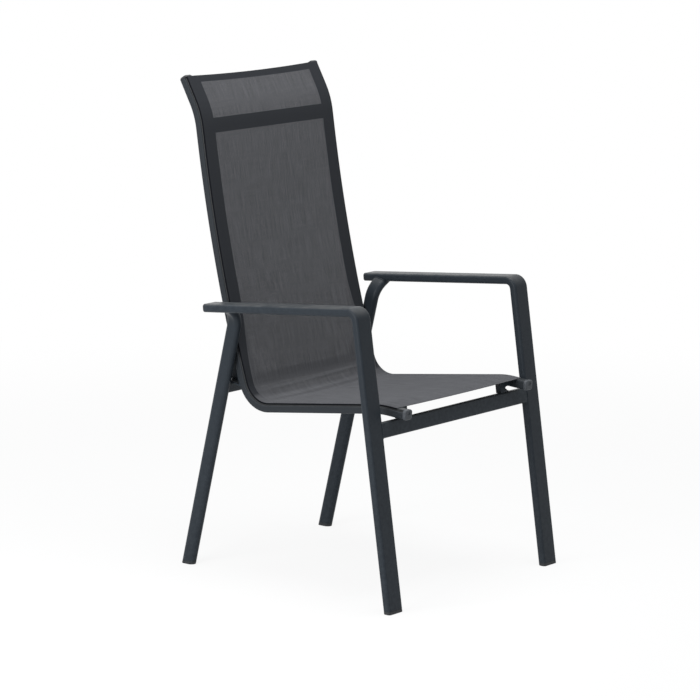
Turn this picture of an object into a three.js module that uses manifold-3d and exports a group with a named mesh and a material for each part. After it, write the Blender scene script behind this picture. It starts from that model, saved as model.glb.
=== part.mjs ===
// High-backed stacking patio armchair with a stretched mesh sling.
// Two bent side frames and two crossbars carry a pair of S-shaped rails. One length of mesh fabric is
// stretched between the rails, with a cord in each edge that is held in a channel of its rail.
// Millimetres and degrees, +Z up. The sitter faces -Y, so the sitter's left is +X.
import * as THREE from 'three';
import { mergeVertices } from 'three/addons/utils/BufferGeometryUtils.js';
import Module from 'manifold-3d';

const wasm = await Module();
wasm.setup();

// General
const clearance = 0.3; // gap kept between pieces that touch
const overrun = 40; // how far a cutting solid or an uncut end reaches past its cut
const cutBlockSize = 2400; // edge of the blocks that cut tubes off level
const cornerSteps = 3; // facets in the rounded corner of a section
const edgeSteps = 3; // facets in the rounded edge of a cap or a screw's head
const roundSteps = 12; // facets round a screw or a peg
const drillReach = 5; // how far a hole through a wall is cut either way from its face

// Side frame: armrest and front leg are one flat tube, bent at the front of the arm
const frameHalfSpacing = 274.5; // chair's middle to the middle of a side frame
const frameTubeWidth = 46.6; // across the chair
const frameTubeThickness = 18.4;
const frameTubeCorner = 6;
const frameTubeWall = 1.8;
const frontFootPlace = -350; // where the leg's axis meets the floor, along Y
const frontLegLean = 8.2; // the leg's top leans to the rear
const armCornerHeight = 640; // where the axes of the leg and the arm would meet
const armFall = 5; // the arm falls to the rear
const armReach = 431; // from that corner to the arm's rear end, plug included
const armBendRadius = 20;
const armBendSteps = 9;

// Rear leg: a slimmer oval tube inside the side frame, bent outward to the underside of the arm
const rearLegInset = 37.9; // middle of a side frame to the rear leg's middle
const rearTubeLength = 34.4; // fore and aft
const rearTubeWidth = 20; // across the chair
const rearTubeWall = 1.8;
const rearFootPlace = 275.8;
const rearLegLean = 14.2; // the leg's top leans to the front
const rearLegBendRadius = 48;
const rearLegTurn = 55; // how far the top is bent outward
const rearLegTail = 18; // straight length from the bend to the middle of the arm
const rearLegBendSteps = 7;

// Feet and the plug in the arm's rear end
const footSoleHeight = 7;
const footPlugHeight = 24;
const plugClearance = 0.35; // plug to bore, all round
const armPlugThickness = 3;
const armPlugEdge = 1.6;
const armPlugDepth = 16;

// Crossbars: flat tubes between the legs, in line with their lean
const frontBarHeight = 384.8; // height of the bar's middle
const frontBarTall = 33.8;
const frontBarDeep = 18;
const rearBarHeight = 417;
const rearBarTall = 26;
const rearBarDeep = 18;
const barCorner = 4;
const barWall = 1.8;
const barCoping = 4; // how far the bar's end reaches round the rounded side of the leg

// Sling rail: side profile from the front end to the top end
const railInset = 62.5; // middle of a side frame to the rail's middle
const railFrontPlace = -333; // front end of the metal, along Y
const railFrontHeight = 419;
const noseRise = 3.8; // the nose rises to the rear by this angle
const seatFall = 7; // the seat falls to the rear by this angle
const lumbarRake = 17; // lean of the back just above the lumbar bend
const shoulderRake = 8.5; // lean of the back below the headrest
const headrestRake = 29.1;
const noseLength = 62; // straight lengths from corner to corner of the profile's axis
const seatLength = 380;
const lowerBackLength = 332.5;
const upperBackLength = 324.5;
const headrestLength = 86.5;
const noseRadius = 179;
const lumbarRadius = 66;
const backRadius = 3500;
const shoulderRadius = 162;
const noseSteps = 3;
const lumbarSteps = 13;
const backSteps = 4;
const shoulderSteps = 5;

// Sling rail: section of the extrusion
const railWidth = 22; // across the chair
const railDepth = 20; // from the rear face to the face that the sling crosses
const railCorner = 2.5;
const railWall = 1.7;
const channelRadius = 3.2; // round channel that holds the cord
const channelInset = 5.2; // outer face to the channel's middle
const channelLift = 5.8; // rail's middle to the channel's middle, towards the sitter
const slotGap = 2.6;
const channelSteps = 5;

// Rail end caps
const capOverlap = 1.3; // how far the front cap stands out past the rail, sides
const capOverlapUp = 2.4; // and on the faces across from them
const frontCapThickness = 5.5;
const frontCapCorner = 5.5;
const frontCapEdge = 1.8;
const topCapThickness = 6;
const topCapEdge = 6;
const capPlugDepth = 14;

// Sling and its cords
const fabricThickness = 1;
const fabricSag = 1.5; // middle of the sling below the line from rail to rail
const fabricFrontSetback = 1.2; // rail end to the fabric's edge
const fabricTopSetback = 1;
const cordRadius = 2.6;
const cordSteps = 7;
const slingSpanShares = [1, 2 / 3, 1 / 3]; // places of the sling's points, from a rail to the middle

// Spreader bar behind the band under the headrest
const spreaderFromTop = 114.5; // along the rail's axis, from its top end
const spreaderTall = 26;
const spreaderThick = 12;
const spreaderGap = 0.8; // sling to bar
const spreaderWall = 1.6;
const spreaderEndThickness = 3;
const spreaderEndPlug = 14;
const pegRadius = 4;
const pegReach = 3; // past the rail's inner wall

// Bracket on the front crossbar, screwed to the inner face of the rail
const frontBracketDeep = 15; // fore and aft
const bracketPostStart = 39; // these are distances from the rail's inner face
const bracketPostEnd = 28;
const bracketFootEnd = 7;
const bracketFootThickness = 3.2;
const bracketArmTall = 12;
const bracketFillet = 4.5;
const footScrewInset = 17;

// Bracket on the rear crossbar, screwed to the rear face of the rail
const rearBracketWide = 16; // across the chair
const rearBracketThickness = 3;
const rearBracketRise = 30; // length of its riser, from the corner
const rearBracketScrewRise = 20; // screw's place on the riser, from the corner

// Screws
const screwRadius = 2.5;
const screwGrip = 6; // how far a screw reaches past the wall that it enters
const footScrewHeadRadius = 7;
const footScrewHeadHeight = 5;
const screwHeadRadius = 4.6;
const screwHeadHeight = 2.8;
const rimShare = 1 / 3; // the upright rim's part of a screw head's height

// Finishes
const frameFinish = { color: 0x3b4248, roughness: 0.5, metalness: 0.35 };
const railFinish = { color: 0x363c41, roughness: 0.5, metalness: 0.35 };
const plasticFinish = { color: 0x2a2d30, roughness: 0.6, metalness: 0 };
const greyPlasticFinish = { color: 0x585c62, roughness: 0.55, metalness: 0 };
const slingFinish = { color: 0x505256, roughness: 0.85, metalness: 0 };
const cordFinish = { color: 0x1d1f21, roughness: 0.6, metalness: 0 };
const steelFinish = { color: 0x7c8085, roughness: 0.35, metalness: 0.9 };

const rearLegHalfSpacing = frameHalfSpacing - rearLegInset;
const railHalfSpacing = frameHalfSpacing - railInset;

const radians = THREE.MathUtils.degToRad;
const sides = [
  { name: 'left', sign: 1 },
  { name: 'right', sign: -1 },
];

// A flat route in the YZ plane, made of straight runs and round bends that join without a kink.
// Its heading is measured from +Y towards +Z, and a positive turn goes to the left of the heading.
class Route extends THREE.Curve {
  constructor(startY, startZ, headingDegrees) {
    super();
    this.place = new THREE.Vector2(startY, startZ);
    this.heading = radians(headingDegrees);
    this.pieces = [];
    this.stations = [{ place: this.place.clone(), heading: this.heading }];
  }

  add(length, curvature, steps) {
    const piece = { length, curvature, place: this.place.clone(), heading: this.heading };
    for (let step = 1; step <= steps; step += 1) {
      this.stations.push(Route.along(piece, (length * step) / steps));
    }
    this.pieces.push(piece);
    const end = this.stations[this.stations.length - 1];
    this.place = end.place.clone();
    this.heading = end.heading;
    return this;
  }

  run(length) {
    return this.add(length, 0, 1);
  }

  bend(radius, turnDegrees, steps) {
    return this.add(radius * radians(Math.abs(turnDegrees)), Math.sign(turnDegrees) / radius, steps);
  }

  static along(piece, distance) {
    const heading = piece.heading + piece.curvature * distance;
    const place = piece.place.clone();
    if (piece.curvature === 0) {
      place.x += Math.cos(heading) * distance;
      place.y += Math.sin(heading) * distance;
    } else {
      place.x += (Math.sin(heading) - Math.sin(piece.heading)) / piece.curvature;
      place.y -= (Math.cos(heading) - Math.cos(piece.heading)) / piece.curvature;
    }
    return { place, heading };
  }

  get length() {
    return this.pieces.reduce((sum, piece) => sum + piece.length, 0);
  }

  get steps() {
    return this.stations.length - 1;
  }

  stationAt(distance) {
    let left = distance;
    let index = 0;
    while (index < this.pieces.length - 1 && left > this.pieces[index].length) {
      left -= this.pieces[index].length;
      index += 1;
    }
    return Route.along(this.pieces[index], left);
  }

  getPointAt(share, target = new THREE.Vector3()) {
    const { place } = this.stations[Math.round(share * this.steps)];
    return target.set(0, place.x, place.y);
  }

  getTangentAt(share, target = new THREE.Vector3()) {
    const { heading } = this.stations[Math.round(share * this.steps)];
    return target.set(0, Math.cos(heading), Math.sin(heading));
  }
}

// How much of a straight length a bend at its end takes up.
function bendAllowance(radius, turnDegrees) {
  return radius * Math.tan(radians(Math.abs(turnDegrees)) / 2);
}

// Outlines are lists of points, all with the same count, so that they can be stacked.
function roundedOutline(width, height, corner) {
  const radius = Math.min(corner, width / 2, height / 2);
  const points = [];
  for (let quarter = 0; quarter < 4; quarter += 1) {
    const signX = quarter === 0 || quarter === 3 ? 1 : -1;
    const signY = quarter < 2 ? 1 : -1;
    for (let step = 0; step <= cornerSteps; step += 1) {
      const angle = (Math.PI / 2) * (quarter + step / cornerSteps);
      points.push(new THREE.Vector2(
        signX * (width / 2 - radius) + radius * Math.cos(angle),
        signY * (height / 2 - radius) + radius * Math.sin(angle),
      ));
    }
  }
  return points;
}

function roundOutline(radius, steps) {
  const points = [];
  for (let step = 0; step < steps; step += 1) {
    const angle = (2 * Math.PI * step) / steps;
    points.push(new THREE.Vector2(radius * Math.cos(angle), radius * Math.sin(angle)));
  }
  return points;
}

// A section with its outline counter-clockwise, and its bore if it has one.
function tubeShape(outside, inside) {
  const shape = new THREE.Shape(THREE.ShapeUtils.isClockWise(outside) ? [...outside].reverse() : outside);
  if (inside) shape.holes.push(new THREE.Path(inside));
  return shape;
}

function sweep(shape, route) {
  return new THREE.ExtrudeGeometry(shape, { extrudePath: route, steps: route.steps });
}

function extrude(shape, depth) {
  const geometry = new THREE.ExtrudeGeometry(shape, { depth, bevelEnabled: false });
  return geometry.translate(0, 0, -depth / 2);
}

// A closed solid through outlines at rising heights along Z.
function stack(levels) {
  const count = levels[0].outline.length;
  const positions = [];
  const index = [];
  for (const { outline, height } of levels) {
    const points = THREE.ShapeUtils.isClockWise(outline) ? [...outline].reverse() : outline;
    for (const point of points) positions.push(point.x, point.y, height);
  }
  for (let level = 0; level < levels.length - 1; level += 1) {
    for (let side = 0; side < count; side += 1) {
      const a = level * count + side;
      const b = level * count + ((side + 1) % count);
      index.push(a, b, b + count, a, b + count, a + count);
    }
  }
  const flat = positions.slice(0, count * 3);
  const floor = levels[0].outline.map((_, side) => new THREE.Vector2(flat[side * 3], flat[side * 3 + 1]));
  const top = (levels.length - 1) * count;
  for (const [a, b, c] of THREE.ShapeUtils.triangulateShape(floor, [])) {
    index.push(a, c, b, top + a, top + b, top + c);
  }
  const geometry = new THREE.BufferGeometry();
  geometry.setAttribute('position', new THREE.Float32BufferAttribute(positions, 3));
  geometry.setIndex(index);
  return geometry;
}

// The levels of a stack that starts square and ends with a rounded edge.
function roundedEnd(outlineAt, edge, start, end) {
  const levels = [{ outline: outlineAt(0), height: start }];
  for (let step = 0; step <= edgeSteps; step += 1) {
    const angle = (Math.PI / 2) * (step / edgeSteps);
    levels.push({
      outline: outlineAt(edge * (1 - Math.cos(angle))),
      height: end - edge * (1 - Math.sin(angle)),
    });
  }
  return levels;
}

// A geometry with its shared corners merged and its empty triangles dropped, as a solid to cut or join.
function toSolid(geometry) {
  const bare = new THREE.BufferGeometry();
  bare.setAttribute('position', geometry.getAttribute('position').clone());
  if (geometry.index) bare.setIndex(geometry.index.clone());
  const merged = mergeVertices(bare);
  const corners = merged.index.array;
  const triangles = [];
  for (let start = 0; start < corners.length; start += 3) {
    const [a, b, c] = corners.slice(start, start + 3);
    if (a !== b && b !== c && c !== a) triangles.push(a, b, c);
  }
  return new wasm.Manifold(new wasm.Mesh({
    numProp: 3,
    vertProperties: new Float32Array(merged.getAttribute('position').array),
    triVerts: new Uint32Array(triangles),
  }));
}

function toGeometry(solid) {
  const mesh = solid.getMesh();
  const indexed = new THREE.BufferGeometry();
  indexed.setAttribute('position', new THREE.BufferAttribute(new Float32Array(mesh.vertProperties), 3));
  indexed.setIndex(new THREE.BufferAttribute(new Uint32Array(mesh.triVerts), 1));
  const geometry = indexed.toNonIndexed();
  geometry.computeVertexNormals();
  return geometry;
}

// Moves a piece drawn across a route to the station at the given distance: the drawing's x runs to -X,
// its y to the left of the heading and its z along the heading.
function acrossRoute(route, distance) {
  const { place, heading } = route.stationAt(distance);
  const along = new THREE.Vector3(0, Math.cos(heading), Math.sin(heading));
  const left = new THREE.Vector3(0, -Math.sin(heading), Math.cos(heading));
  const matrix = new THREE.Matrix4().makeBasis(new THREE.Vector3(-1, 0, 0), left, along);
  return matrix.setPosition(0, place.x, place.y);
}

// Turns a section drawn in XY and extruded along Z into a bar that runs across the chair, with the
// drawing's y along the line's heading.
function acrossChair({ place, heading }) {
  const up = new THREE.Vector3(0, Math.cos(heading), Math.sin(heading));
  const across = new THREE.Vector3(1, 0, 0);
  const matrix = new THREE.Matrix4().makeBasis(new THREE.Vector3().crossVectors(up, across), up, across);
  return matrix.setPosition(0, place.x, place.y);
}

// Where two lines in the YZ plane meet, each given by a point and a heading in radians.
function meeting(first, second) {
  const cross = Math.sin(second.heading - first.heading);
  const gap = new THREE.Vector2().subVectors(second.place, first.place);
  const reach = (gap.x * Math.sin(second.heading) - gap.y * Math.cos(second.heading)) / cross;
  return step(first, reach);
}

// A point moved along a heading, and to the left of it.
function step({ place, heading }, along, left = 0) {
  return new THREE.Vector2(
    place.x + Math.cos(heading) * along - Math.sin(heading) * left,
    place.y + Math.sin(heading) * along + Math.cos(heading) * left,
  );
}

const chair = new THREE.Group();

function addPiece(name, geometry, finish, place = new THREE.Vector3()) {
  const mesh = new THREE.Mesh(geometry, new THREE.MeshStandardMaterial(finish));
  mesh.name = name;
  mesh.position.copy(place);
  chair.add(mesh);
  return mesh;
}

// Side frames
const frontLegHeading = 90 - frontLegLean;
const armTurn = -(frontLegHeading + armFall);
const frontLegLength = armCornerHeight / Math.cos(radians(frontLegLean));
const armAllowance = bendAllowance(armBendRadius, armTurn);
const frontFoot = { place: new THREE.Vector2(frontFootPlace, 0), heading: radians(frontLegHeading) };
const armCorner = step(frontFoot, frontLegLength);
const frameInnerFace = frameHalfSpacing - frameTubeWidth / 2;

function frameRoute() {
  const start = step(frontFoot, -overrun);
  return new Route(start.x, start.y, frontLegHeading)
    .run(overrun + frontLegLength - armAllowance)
    .bend(armBendRadius, armTurn, armBendSteps)
    .run(armReach - armAllowance - armPlugThickness - clearance);
}

function frameOutline(inset) {
  return roundedOutline(
    frameTubeWidth - 2 * inset,
    frameTubeThickness - 2 * inset,
    frameTubeCorner - inset,
  );
}

// The space that a side frame takes up, with the clearance that its neighbours keep.
const frameEnvelope = toSolid(sweep(tubeShape(frameOutline(-clearance)), frameRoute()));

// Everything from the floor up to the given height, or past it.
function floorBand(height) {
  const size = cutBlockSize;
  return toSolid(new THREE.BoxGeometry(size, size, size).translate(0, 0, height - size / 2));
}

const tubeFloor = floorBand(footSoleHeight + clearance);
const ground = floorBand(0);

function armLegGeometry() {
  const tube = sweep(tubeShape(frameOutline(0), frameOutline(frameTubeWall)), frameRoute());
  return toGeometry(toSolid(tube).subtract(tubeFloor));
}

function armPlugGeometry() {
  const route = frameRoute();
  const flange = stack(roundedEnd(frameOutline, armPlugEdge, clearance, clearance + armPlugThickness));
  const plug = stack([
    { outline: frameOutline(frameTubeWall + plugClearance), height: -armPlugDepth },
    { outline: frameOutline(frameTubeWall + plugClearance), height: clearance + armPlugThickness / 2 },
  ]);
  const joined = toGeometry(toSolid(flange).add(toSolid(plug)));
  return joined.applyMatrix4(acrossRoute(route, route.length));
}

// A foot cap follows the leg's axis, and its sole is cut level with the floor.
function footCapGeometry(outlineAt, wall, matrix) {
  const reach = overrun / 2;
  const solePiece = toSolid(stack([
    { outline: outlineAt(0), height: -reach },
    { outline: outlineAt(0), height: reach + footSoleHeight },
  ]).applyMatrix4(matrix)).subtract(ground);
  const aboveSole = floorBand(footSoleHeight + overrun * 2)
    .subtract(floorBand(footSoleHeight));
  const sole = solePiece.subtract(aboveSole);
  const plug = toSolid(stack([
    { outline: outlineAt(wall + plugClearance), height: -reach },
    { outline: outlineAt(wall + plugClearance), height: footPlugHeight },
  ]).applyMatrix4(matrix)).subtract(ground);
  return toGeometry(sole.add(plug));
}

// Rear legs, drawn upright in their own plane with the outward bend at the top
const armSlope = Math.tan(radians(armFall));
const rearLegSine = Math.sin(radians(rearLegLean));
const rearLegCosine = Math.cos(radians(rearLegLean));
const rearLegLength = (armCornerHeight - armSlope * (rearFootPlace - armCorner.x))
  / (rearLegCosine - armSlope * rearLegSine);

function rearLegRoute() {
  const turn = radians(rearLegTurn);
  const bendHeight = rearLegBendRadius * Math.sin(turn) + rearLegTail * Math.cos(turn);
  return new Route(0, -overrun, 90)
    .run(overrun + rearLegLength - bendHeight)
    .bend(rearLegBendRadius, -rearLegTurn, rearLegBendSteps)
    .run(rearLegTail + rearTubeWidth);
}

function rearLegOutline(inset) {
  const width = rearTubeLength - 2 * inset;
  const depth = rearTubeWidth - 2 * inset;
  return roundedOutline(width, depth, depth / 2);
}

// From the leg's own plane to its place beside the chair's middle plane.
function rearLegMatrix(sign) {
  const outward = new THREE.Vector3(sign, 0, 0);
  const upward = new THREE.Vector3(0, -rearLegSine, rearLegCosine);
  const foreAft = new THREE.Vector3().crossVectors(outward, upward);
  return new THREE.Matrix4().makeBasis(foreAft, outward, upward).setPosition(0, rearFootPlace, 0);
}

// Everything above the arm's axis.
function aboveArm() {
  const route = frameRoute();
  const size = cutBlockSize;
  const box = new THREE.BoxGeometry(size, size, size).translate(0, size / 2, 0);
  return toSolid(box.applyMatrix4(acrossRoute(route, route.length)));
}

function rearLegGeometry(sign) {
  const shape = tubeShape(rearLegOutline(0), rearLegOutline(rearTubeWall));
  const tube = toSolid(sweep(shape, rearLegRoute()).applyMatrix4(rearLegMatrix(sign)));
  const armSpace = frameEnvelope.translate(sign * rearLegInset, 0, 0);
  return toGeometry(tube.subtract(tubeFloor).subtract(armSpace).subtract(aboveArm()));
}

for (const { name, sign } of sides) {
  const frameX = new THREE.Vector3(sign * frameHalfSpacing, 0, 0);
  const rearX = new THREE.Vector3(sign * rearLegHalfSpacing, 0, 0);
  addPiece(`arm_leg_${name}`, armLegGeometry(), frameFinish, frameX);
  addPiece(`arm_end_plug_${name}`, armPlugGeometry(), plasticFinish, frameX);
  const frontFootMatrix = acrossRoute(frameRoute(), overrun);
  addPiece(
    `front_foot_cap_${name}`,
    footCapGeometry(frameOutline, frameTubeWall, frontFootMatrix),
    plasticFinish,
    frameX,
  );
  addPiece(`rear_leg_${name}`, rearLegGeometry(sign), frameFinish, rearX);
  addPiece(
    `rear_foot_cap_${name}`,
    footCapGeometry(rearLegOutline, rearTubeWall, rearLegMatrix(sign)),
    plasticFinish,
    rearX,
  );
}

// Crossbars
const rearFoot = { place: new THREE.Vector2(rearFootPlace, 0), heading: radians(90 + rearLegLean) };
const rearInnerFace = rearLegHalfSpacing - rearTubeWidth / 2;
const frontBar = legLine(frontFoot, frontBarHeight);
const rearBar = legLine(rearFoot, rearBarHeight);
const railInnerFace = railHalfSpacing - railWidth / 2;

// The leg's axis, taken from the point at the given height.
function legLine(foot, height) {
  return { place: step(foot, height / Math.sin(foot.heading)), heading: foot.heading };
}

function rearLegEnvelope(sign) {
  const solid = sweep(tubeShape(rearLegOutline(-clearance)), rearLegRoute());
  return toSolid(solid.applyMatrix4(rearLegMatrix(sign)));
}

// A point given by its place in the YZ plane and its distance across the chair.
function inSpace(place, across) {
  return new THREE.Vector3(across, place.x, place.y);
}

function direction(heading) {
  return new THREE.Vector3(0, Math.cos(heading), Math.sin(heading));
}

// A round rod from point to point, to join on as a peg or to cut a hole with.
function rod(radius, from, to) {
  const axis = new THREE.Vector3().subVectors(to, from);
  const geometry = new THREE.CylinderGeometry(radius, radius, axis.length(), roundSteps);
  const turn = new THREE.Quaternion().setFromUnitVectors(new THREE.Vector3(0, 1, 0), axis.normalize());
  const middle = new THREE.Vector3().addVectors(from, to).multiplyScalar(1 / 2);
  return toSolid(geometry.applyQuaternion(turn).translate(middle.x, middle.y, middle.z));
}

// A hole cut both ways from a point on its axis.
function hole(point, axis, radius = screwRadius + clearance, reach = drillReach) {
  const back = axis.clone().multiplyScalar(-reach).add(point);
  const ahead = axis.clone().multiplyScalar(reach).add(point);
  return rod(radius, back, ahead);
}

function crossbarSolid(line, tall, deep, legFace, legSpaces) {
  const bore = roundedOutline(deep - 2 * barWall, tall - 2 * barWall, barCorner - barWall);
  const tube = extrude(tubeShape(roundedOutline(deep, tall, barCorner), bore), 2 * (legFace + barCoping));
  let solid = toSolid(tube.applyMatrix4(acrossChair(line)));
  for (const space of legSpaces) solid = solid.subtract(space);
  return solid;
}

const footScrewAcross = railInnerFace - footScrewInset;

function frontCrossbarGeometry() {
  const spaces = sides.map(({ sign }) => frameEnvelope.translate(sign * frameHalfSpacing, 0, 0));
  let solid = crossbarSolid(frontBar, frontBarTall, frontBarDeep, frameInnerFace, spaces);
  const top = step(frontBar, frontBarTall / 2);
  for (const { sign } of sides) {
    const point = inSpace(top, sign * footScrewAcross);
    solid = solid.subtract(hole(point, direction(frontBar.heading)));
  }
  return toGeometry(solid);
}

function rearCrossbarGeometry() {
  const spaces = sides.map(({ sign }) => rearLegEnvelope(sign).translate(sign * rearLegHalfSpacing, 0, 0));
  let solid = crossbarSolid(rearBar, rearBarTall, rearBarDeep, rearInnerFace, spaces);
  const top = step(rearBar, rearBarTall / 2);
  for (const { sign } of sides) {
    const point = inSpace(top, sign * railHalfSpacing);
    solid = solid.subtract(hole(point, direction(rearBar.heading)));
  }
  return toGeometry(solid);
}

addPiece('front_crossbar', frontCrossbarGeometry(), frameFinish);
addPiece('rear_crossbar', rearCrossbarGeometry(), frameFinish);

// Sling rails
const noseTurn = -(noseRise + seatFall);
const lumbarTurn = 90 - lumbarRake + seatFall;
const backTurn = lumbarRake - shoulderRake;
const shoulderTurn = -(headrestRake - shoulderRake);
const lumbarPieceCount = 4; // pieces of the route up to the end of the lumbar bend

function railRoute(frontTrim = 0, topTrim = 0) {
  const nose = bendAllowance(noseRadius, noseTurn);
  const lumbar = bendAllowance(lumbarRadius, lumbarTurn);
  const back = bendAllowance(backRadius, backTurn);
  const shoulder = bendAllowance(shoulderRadius, shoulderTurn);
  const rise = radians(noseRise);
  const startY = railFrontPlace + frontTrim * Math.cos(rise);
  const startZ = railFrontHeight + frontTrim * Math.sin(rise);
  return new Route(startY, startZ, noseRise)
    .run(noseLength - nose - frontTrim)
    .bend(noseRadius, noseTurn, noseSteps)
    .run(seatLength - nose - lumbar)
    .bend(lumbarRadius, lumbarTurn, lumbarSteps)
    .run(lowerBackLength - lumbar - back)
    .bend(backRadius, backTurn, backSteps)
    .run(upperBackLength - back - shoulder)
    .bend(shoulderRadius, shoulderTurn, shoulderSteps)
    .run(headrestLength - shoulder - topTrim);
}

const railAxis = railRoute();
const channelOutward = railWidth / 2 - channelInset;

// Section points are given as distances outward from the rail's middle and towards the sitter.
function railPoints(sign, points) {
  return points.map((point) => new THREE.Vector2(-sign * point.x, point.y));
}

// The outside of the extrusion, with the slot in its outer face and the round channel behind the slot.
function railOutline() {
  const points = roundedOutline(railWidth, railDepth, railCorner);
  const lip = Math.asin(slotGap / 2 / channelRadius);
  const sweepAngle = 2 * (Math.PI - lip);
  points.push(new THREE.Vector2(railWidth / 2, channelLift - slotGap / 2));
  for (let count = 0; count <= 2 * channelSteps; count += 1) {
    const angle = -lip - (sweepAngle * count) / (2 * channelSteps);
    points.push(new THREE.Vector2(
      channelOutward + channelRadius * Math.cos(angle),
      channelLift + channelRadius * Math.sin(angle),
    ));
  }
  points.push(new THREE.Vector2(railWidth / 2, channelLift + slotGap / 2));
  return points;
}

// The hollow that lightens the extrusion: it goes round the channel.
function chamberOutline(inset = 0) {
  const side = railWidth / 2 - railWall - inset;
  const face = railDepth / 2 - railWall - inset;
  const besideChannel = channelOutward - channelRadius - railWall - inset;
  const belowChannel = channelLift - channelRadius - railWall - inset;
  return [
    new THREE.Vector2(-side, -face),
    new THREE.Vector2(side, -face),
    new THREE.Vector2(side, belowChannel),
    new THREE.Vector2(besideChannel, belowChannel),
    new THREE.Vector2(besideChannel, face),
    new THREE.Vector2(-side, face),
  ];
}

const spreaderDistance = railAxis.length - spreaderFromTop;
const spreaderLift = railDepth / 2 + clearance - fabricSag - spreaderGap - spreaderThick / 2;

// The line along the middle of the spreader bar, with its heading away from the sling's face.
function spreaderLine() {
  const station = railAxis.stationAt(spreaderDistance);
  return { place: step(station, 0, spreaderLift), heading: station.heading + Math.PI / 2 };
}

// Where the front bracket's screw meets the rail's axis, as a height above the crossbar's middle.
const railFront = { place: new THREE.Vector2(railFrontPlace, railFrontHeight), heading: radians(noseRise) };
const frontMeeting = meeting(frontBar, railFront);
const frontMeetingRise = frontMeeting.distanceTo(frontBar.place);

// The rear bracket's lines: its base on the crossbar and its riser behind the rail.
const lumbarEnd = railAxis.pieces.slice(0, lumbarPieceCount).reduce((sum, piece) => sum + piece.length, 0);
const backStation = railAxis.stationAt(lumbarEnd);
const rearBarTop = { place: step(rearBar, rearBarTall / 2), heading: rearBar.heading - Math.PI / 2 };
const baseUnder = { place: step(rearBarTop, 0, clearance), heading: rearBarTop.heading };
const baseUpper = { place: step(baseUnder, 0, rearBracketThickness), heading: rearBarTop.heading };
const riserFront = {
  place: step(backStation, 0, -(railDepth / 2 + clearance)),
  heading: backStation.heading,
};
const riserRear = { place: step(riserFront, 0, -rearBracketThickness), heading: backStation.heading };
const riserCorner = { place: meeting(baseUnder, riserFront), heading: backStation.heading };
const riserScrewPlace = step(riserCorner, rearBracketScrewRise, -rearBracketThickness);

function railGeometry(sign) {
  const shape = tubeShape(railPoints(sign, railOutline()), railPoints(sign, chamberOutline()));
  const across = new THREE.Vector3(1, 0, 0);
  const inner = sign * (railInnerFace - railHalfSpacing);
  const towardsSitter = direction(riserCorner.heading + Math.PI / 2);
  const riserHole = inSpace(step(riserCorner, rearBracketScrewRise, clearance), 0);
  return toGeometry(toSolid(sweep(shape, railAxis))
    .subtract(hole(inSpace(frontMeeting, inner), across))
    .subtract(hole(riserHole, towardsSitter))
    .subtract(hole(inSpace(spreaderLine().place, inner), across, pegRadius + clearance)));
}

function plugSolid(sign, from, to) {
  const outline = railPoints(sign, chamberOutline(plugClearance));
  return toSolid(stack([{ outline, height: from }, { outline, height: to }]));
}

function frontCapGeometry(sign) {
  const outline = (inset) => roundedOutline(
    railWidth + 2 * (capOverlap - inset),
    railDepth + 2 * (capOverlapUp - inset),
    frontCapCorner - inset,
  );
  const levels = roundedEnd(outline, frontCapEdge, clearance, clearance + frontCapThickness);
  const towardsFront = levels.map((level) => ({ outline: level.outline, height: -level.height }));
  const flange = toSolid(stack(towardsFront.reverse()));
  const plug = plugSolid(sign, -clearance - frontCapThickness / 2, capPlugDepth);
  return toGeometry(flange.add(plug)).applyMatrix4(acrossRoute(railAxis, 0));
}

function topCapGeometry(sign) {
  const outline = (inset) => roundedOutline(railWidth - 2 * inset, railDepth - 2 * inset, railCorner);
  const cap = toSolid(stack(roundedEnd(outline, topCapEdge, clearance, clearance + topCapThickness)));
  const plug = plugSolid(sign, -capPlugDepth, clearance + topCapThickness / 2);
  return toGeometry(cap.add(plug)).applyMatrix4(acrossRoute(railAxis, railAxis.length));
}

// The cord in the sling's edge lies in the rail's channel, as long as the fabric.
function cordGeometry(sign) {
  const middle = new THREE.Vector2(channelOutward, channelLift);
  const outline = roundOutline(cordRadius, cordSteps).map((point) => point.add(middle));
  const shape = tubeShape(railPoints(sign, outline));
  return toGeometry(toSolid(sweep(shape, railRoute(fabricFrontSetback, fabricTopSetback))));
}

for (const { name, sign } of sides) {
  const place = new THREE.Vector3(sign * railHalfSpacing, 0, 0);
  addPiece(`sling_rail_${name}`, railGeometry(sign), railFinish, place);
  addPiece(`rail_front_cap_${name}`, frontCapGeometry(sign), greyPlasticFinish, place);
  addPiece(`rail_top_cap_${name}`, topCapGeometry(sign), plasticFinish, place);
  addPiece(`edge_cord_${name}`, cordGeometry(sign), cordFinish, place);
}

// Sling: its edge comes out of the rail's slot, goes round the outer corner and across the front face

// Half of the fabric's middle line, from the edge in the slot to just short of the chair's middle.
function slingHalf() {
  const off = clearance + fabricThickness / 2;
  const outerCorner = new THREE.Vector2(railWidth / 2 - railCorner, railDepth / 2 - railCorner);
  const points = [
    new THREE.Vector2(channelOutward + cordRadius + clearance, channelLift),
    new THREE.Vector2(railWidth / 2 + off, channelLift),
  ];
  for (let count = 0; count <= cornerSteps; count += 1) {
    const angle = (Math.PI / 2) * (count / cornerSteps);
    points.push(new THREE.Vector2(
      outerCorner.x + (railCorner + off) * Math.cos(angle),
      outerCorner.y + (railCorner + off) * Math.sin(angle),
    ));
  }
  const fromMiddle = points.map((point) => point.setX(point.x + railHalfSpacing));
  for (const share of slingSpanShares) {
    const sag = fabricSag * (1 - share * share);
    fromMiddle.push(new THREE.Vector2(railInnerFace * share, railDepth / 2 + off - sag));
  }
  return fromMiddle;
}

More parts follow.
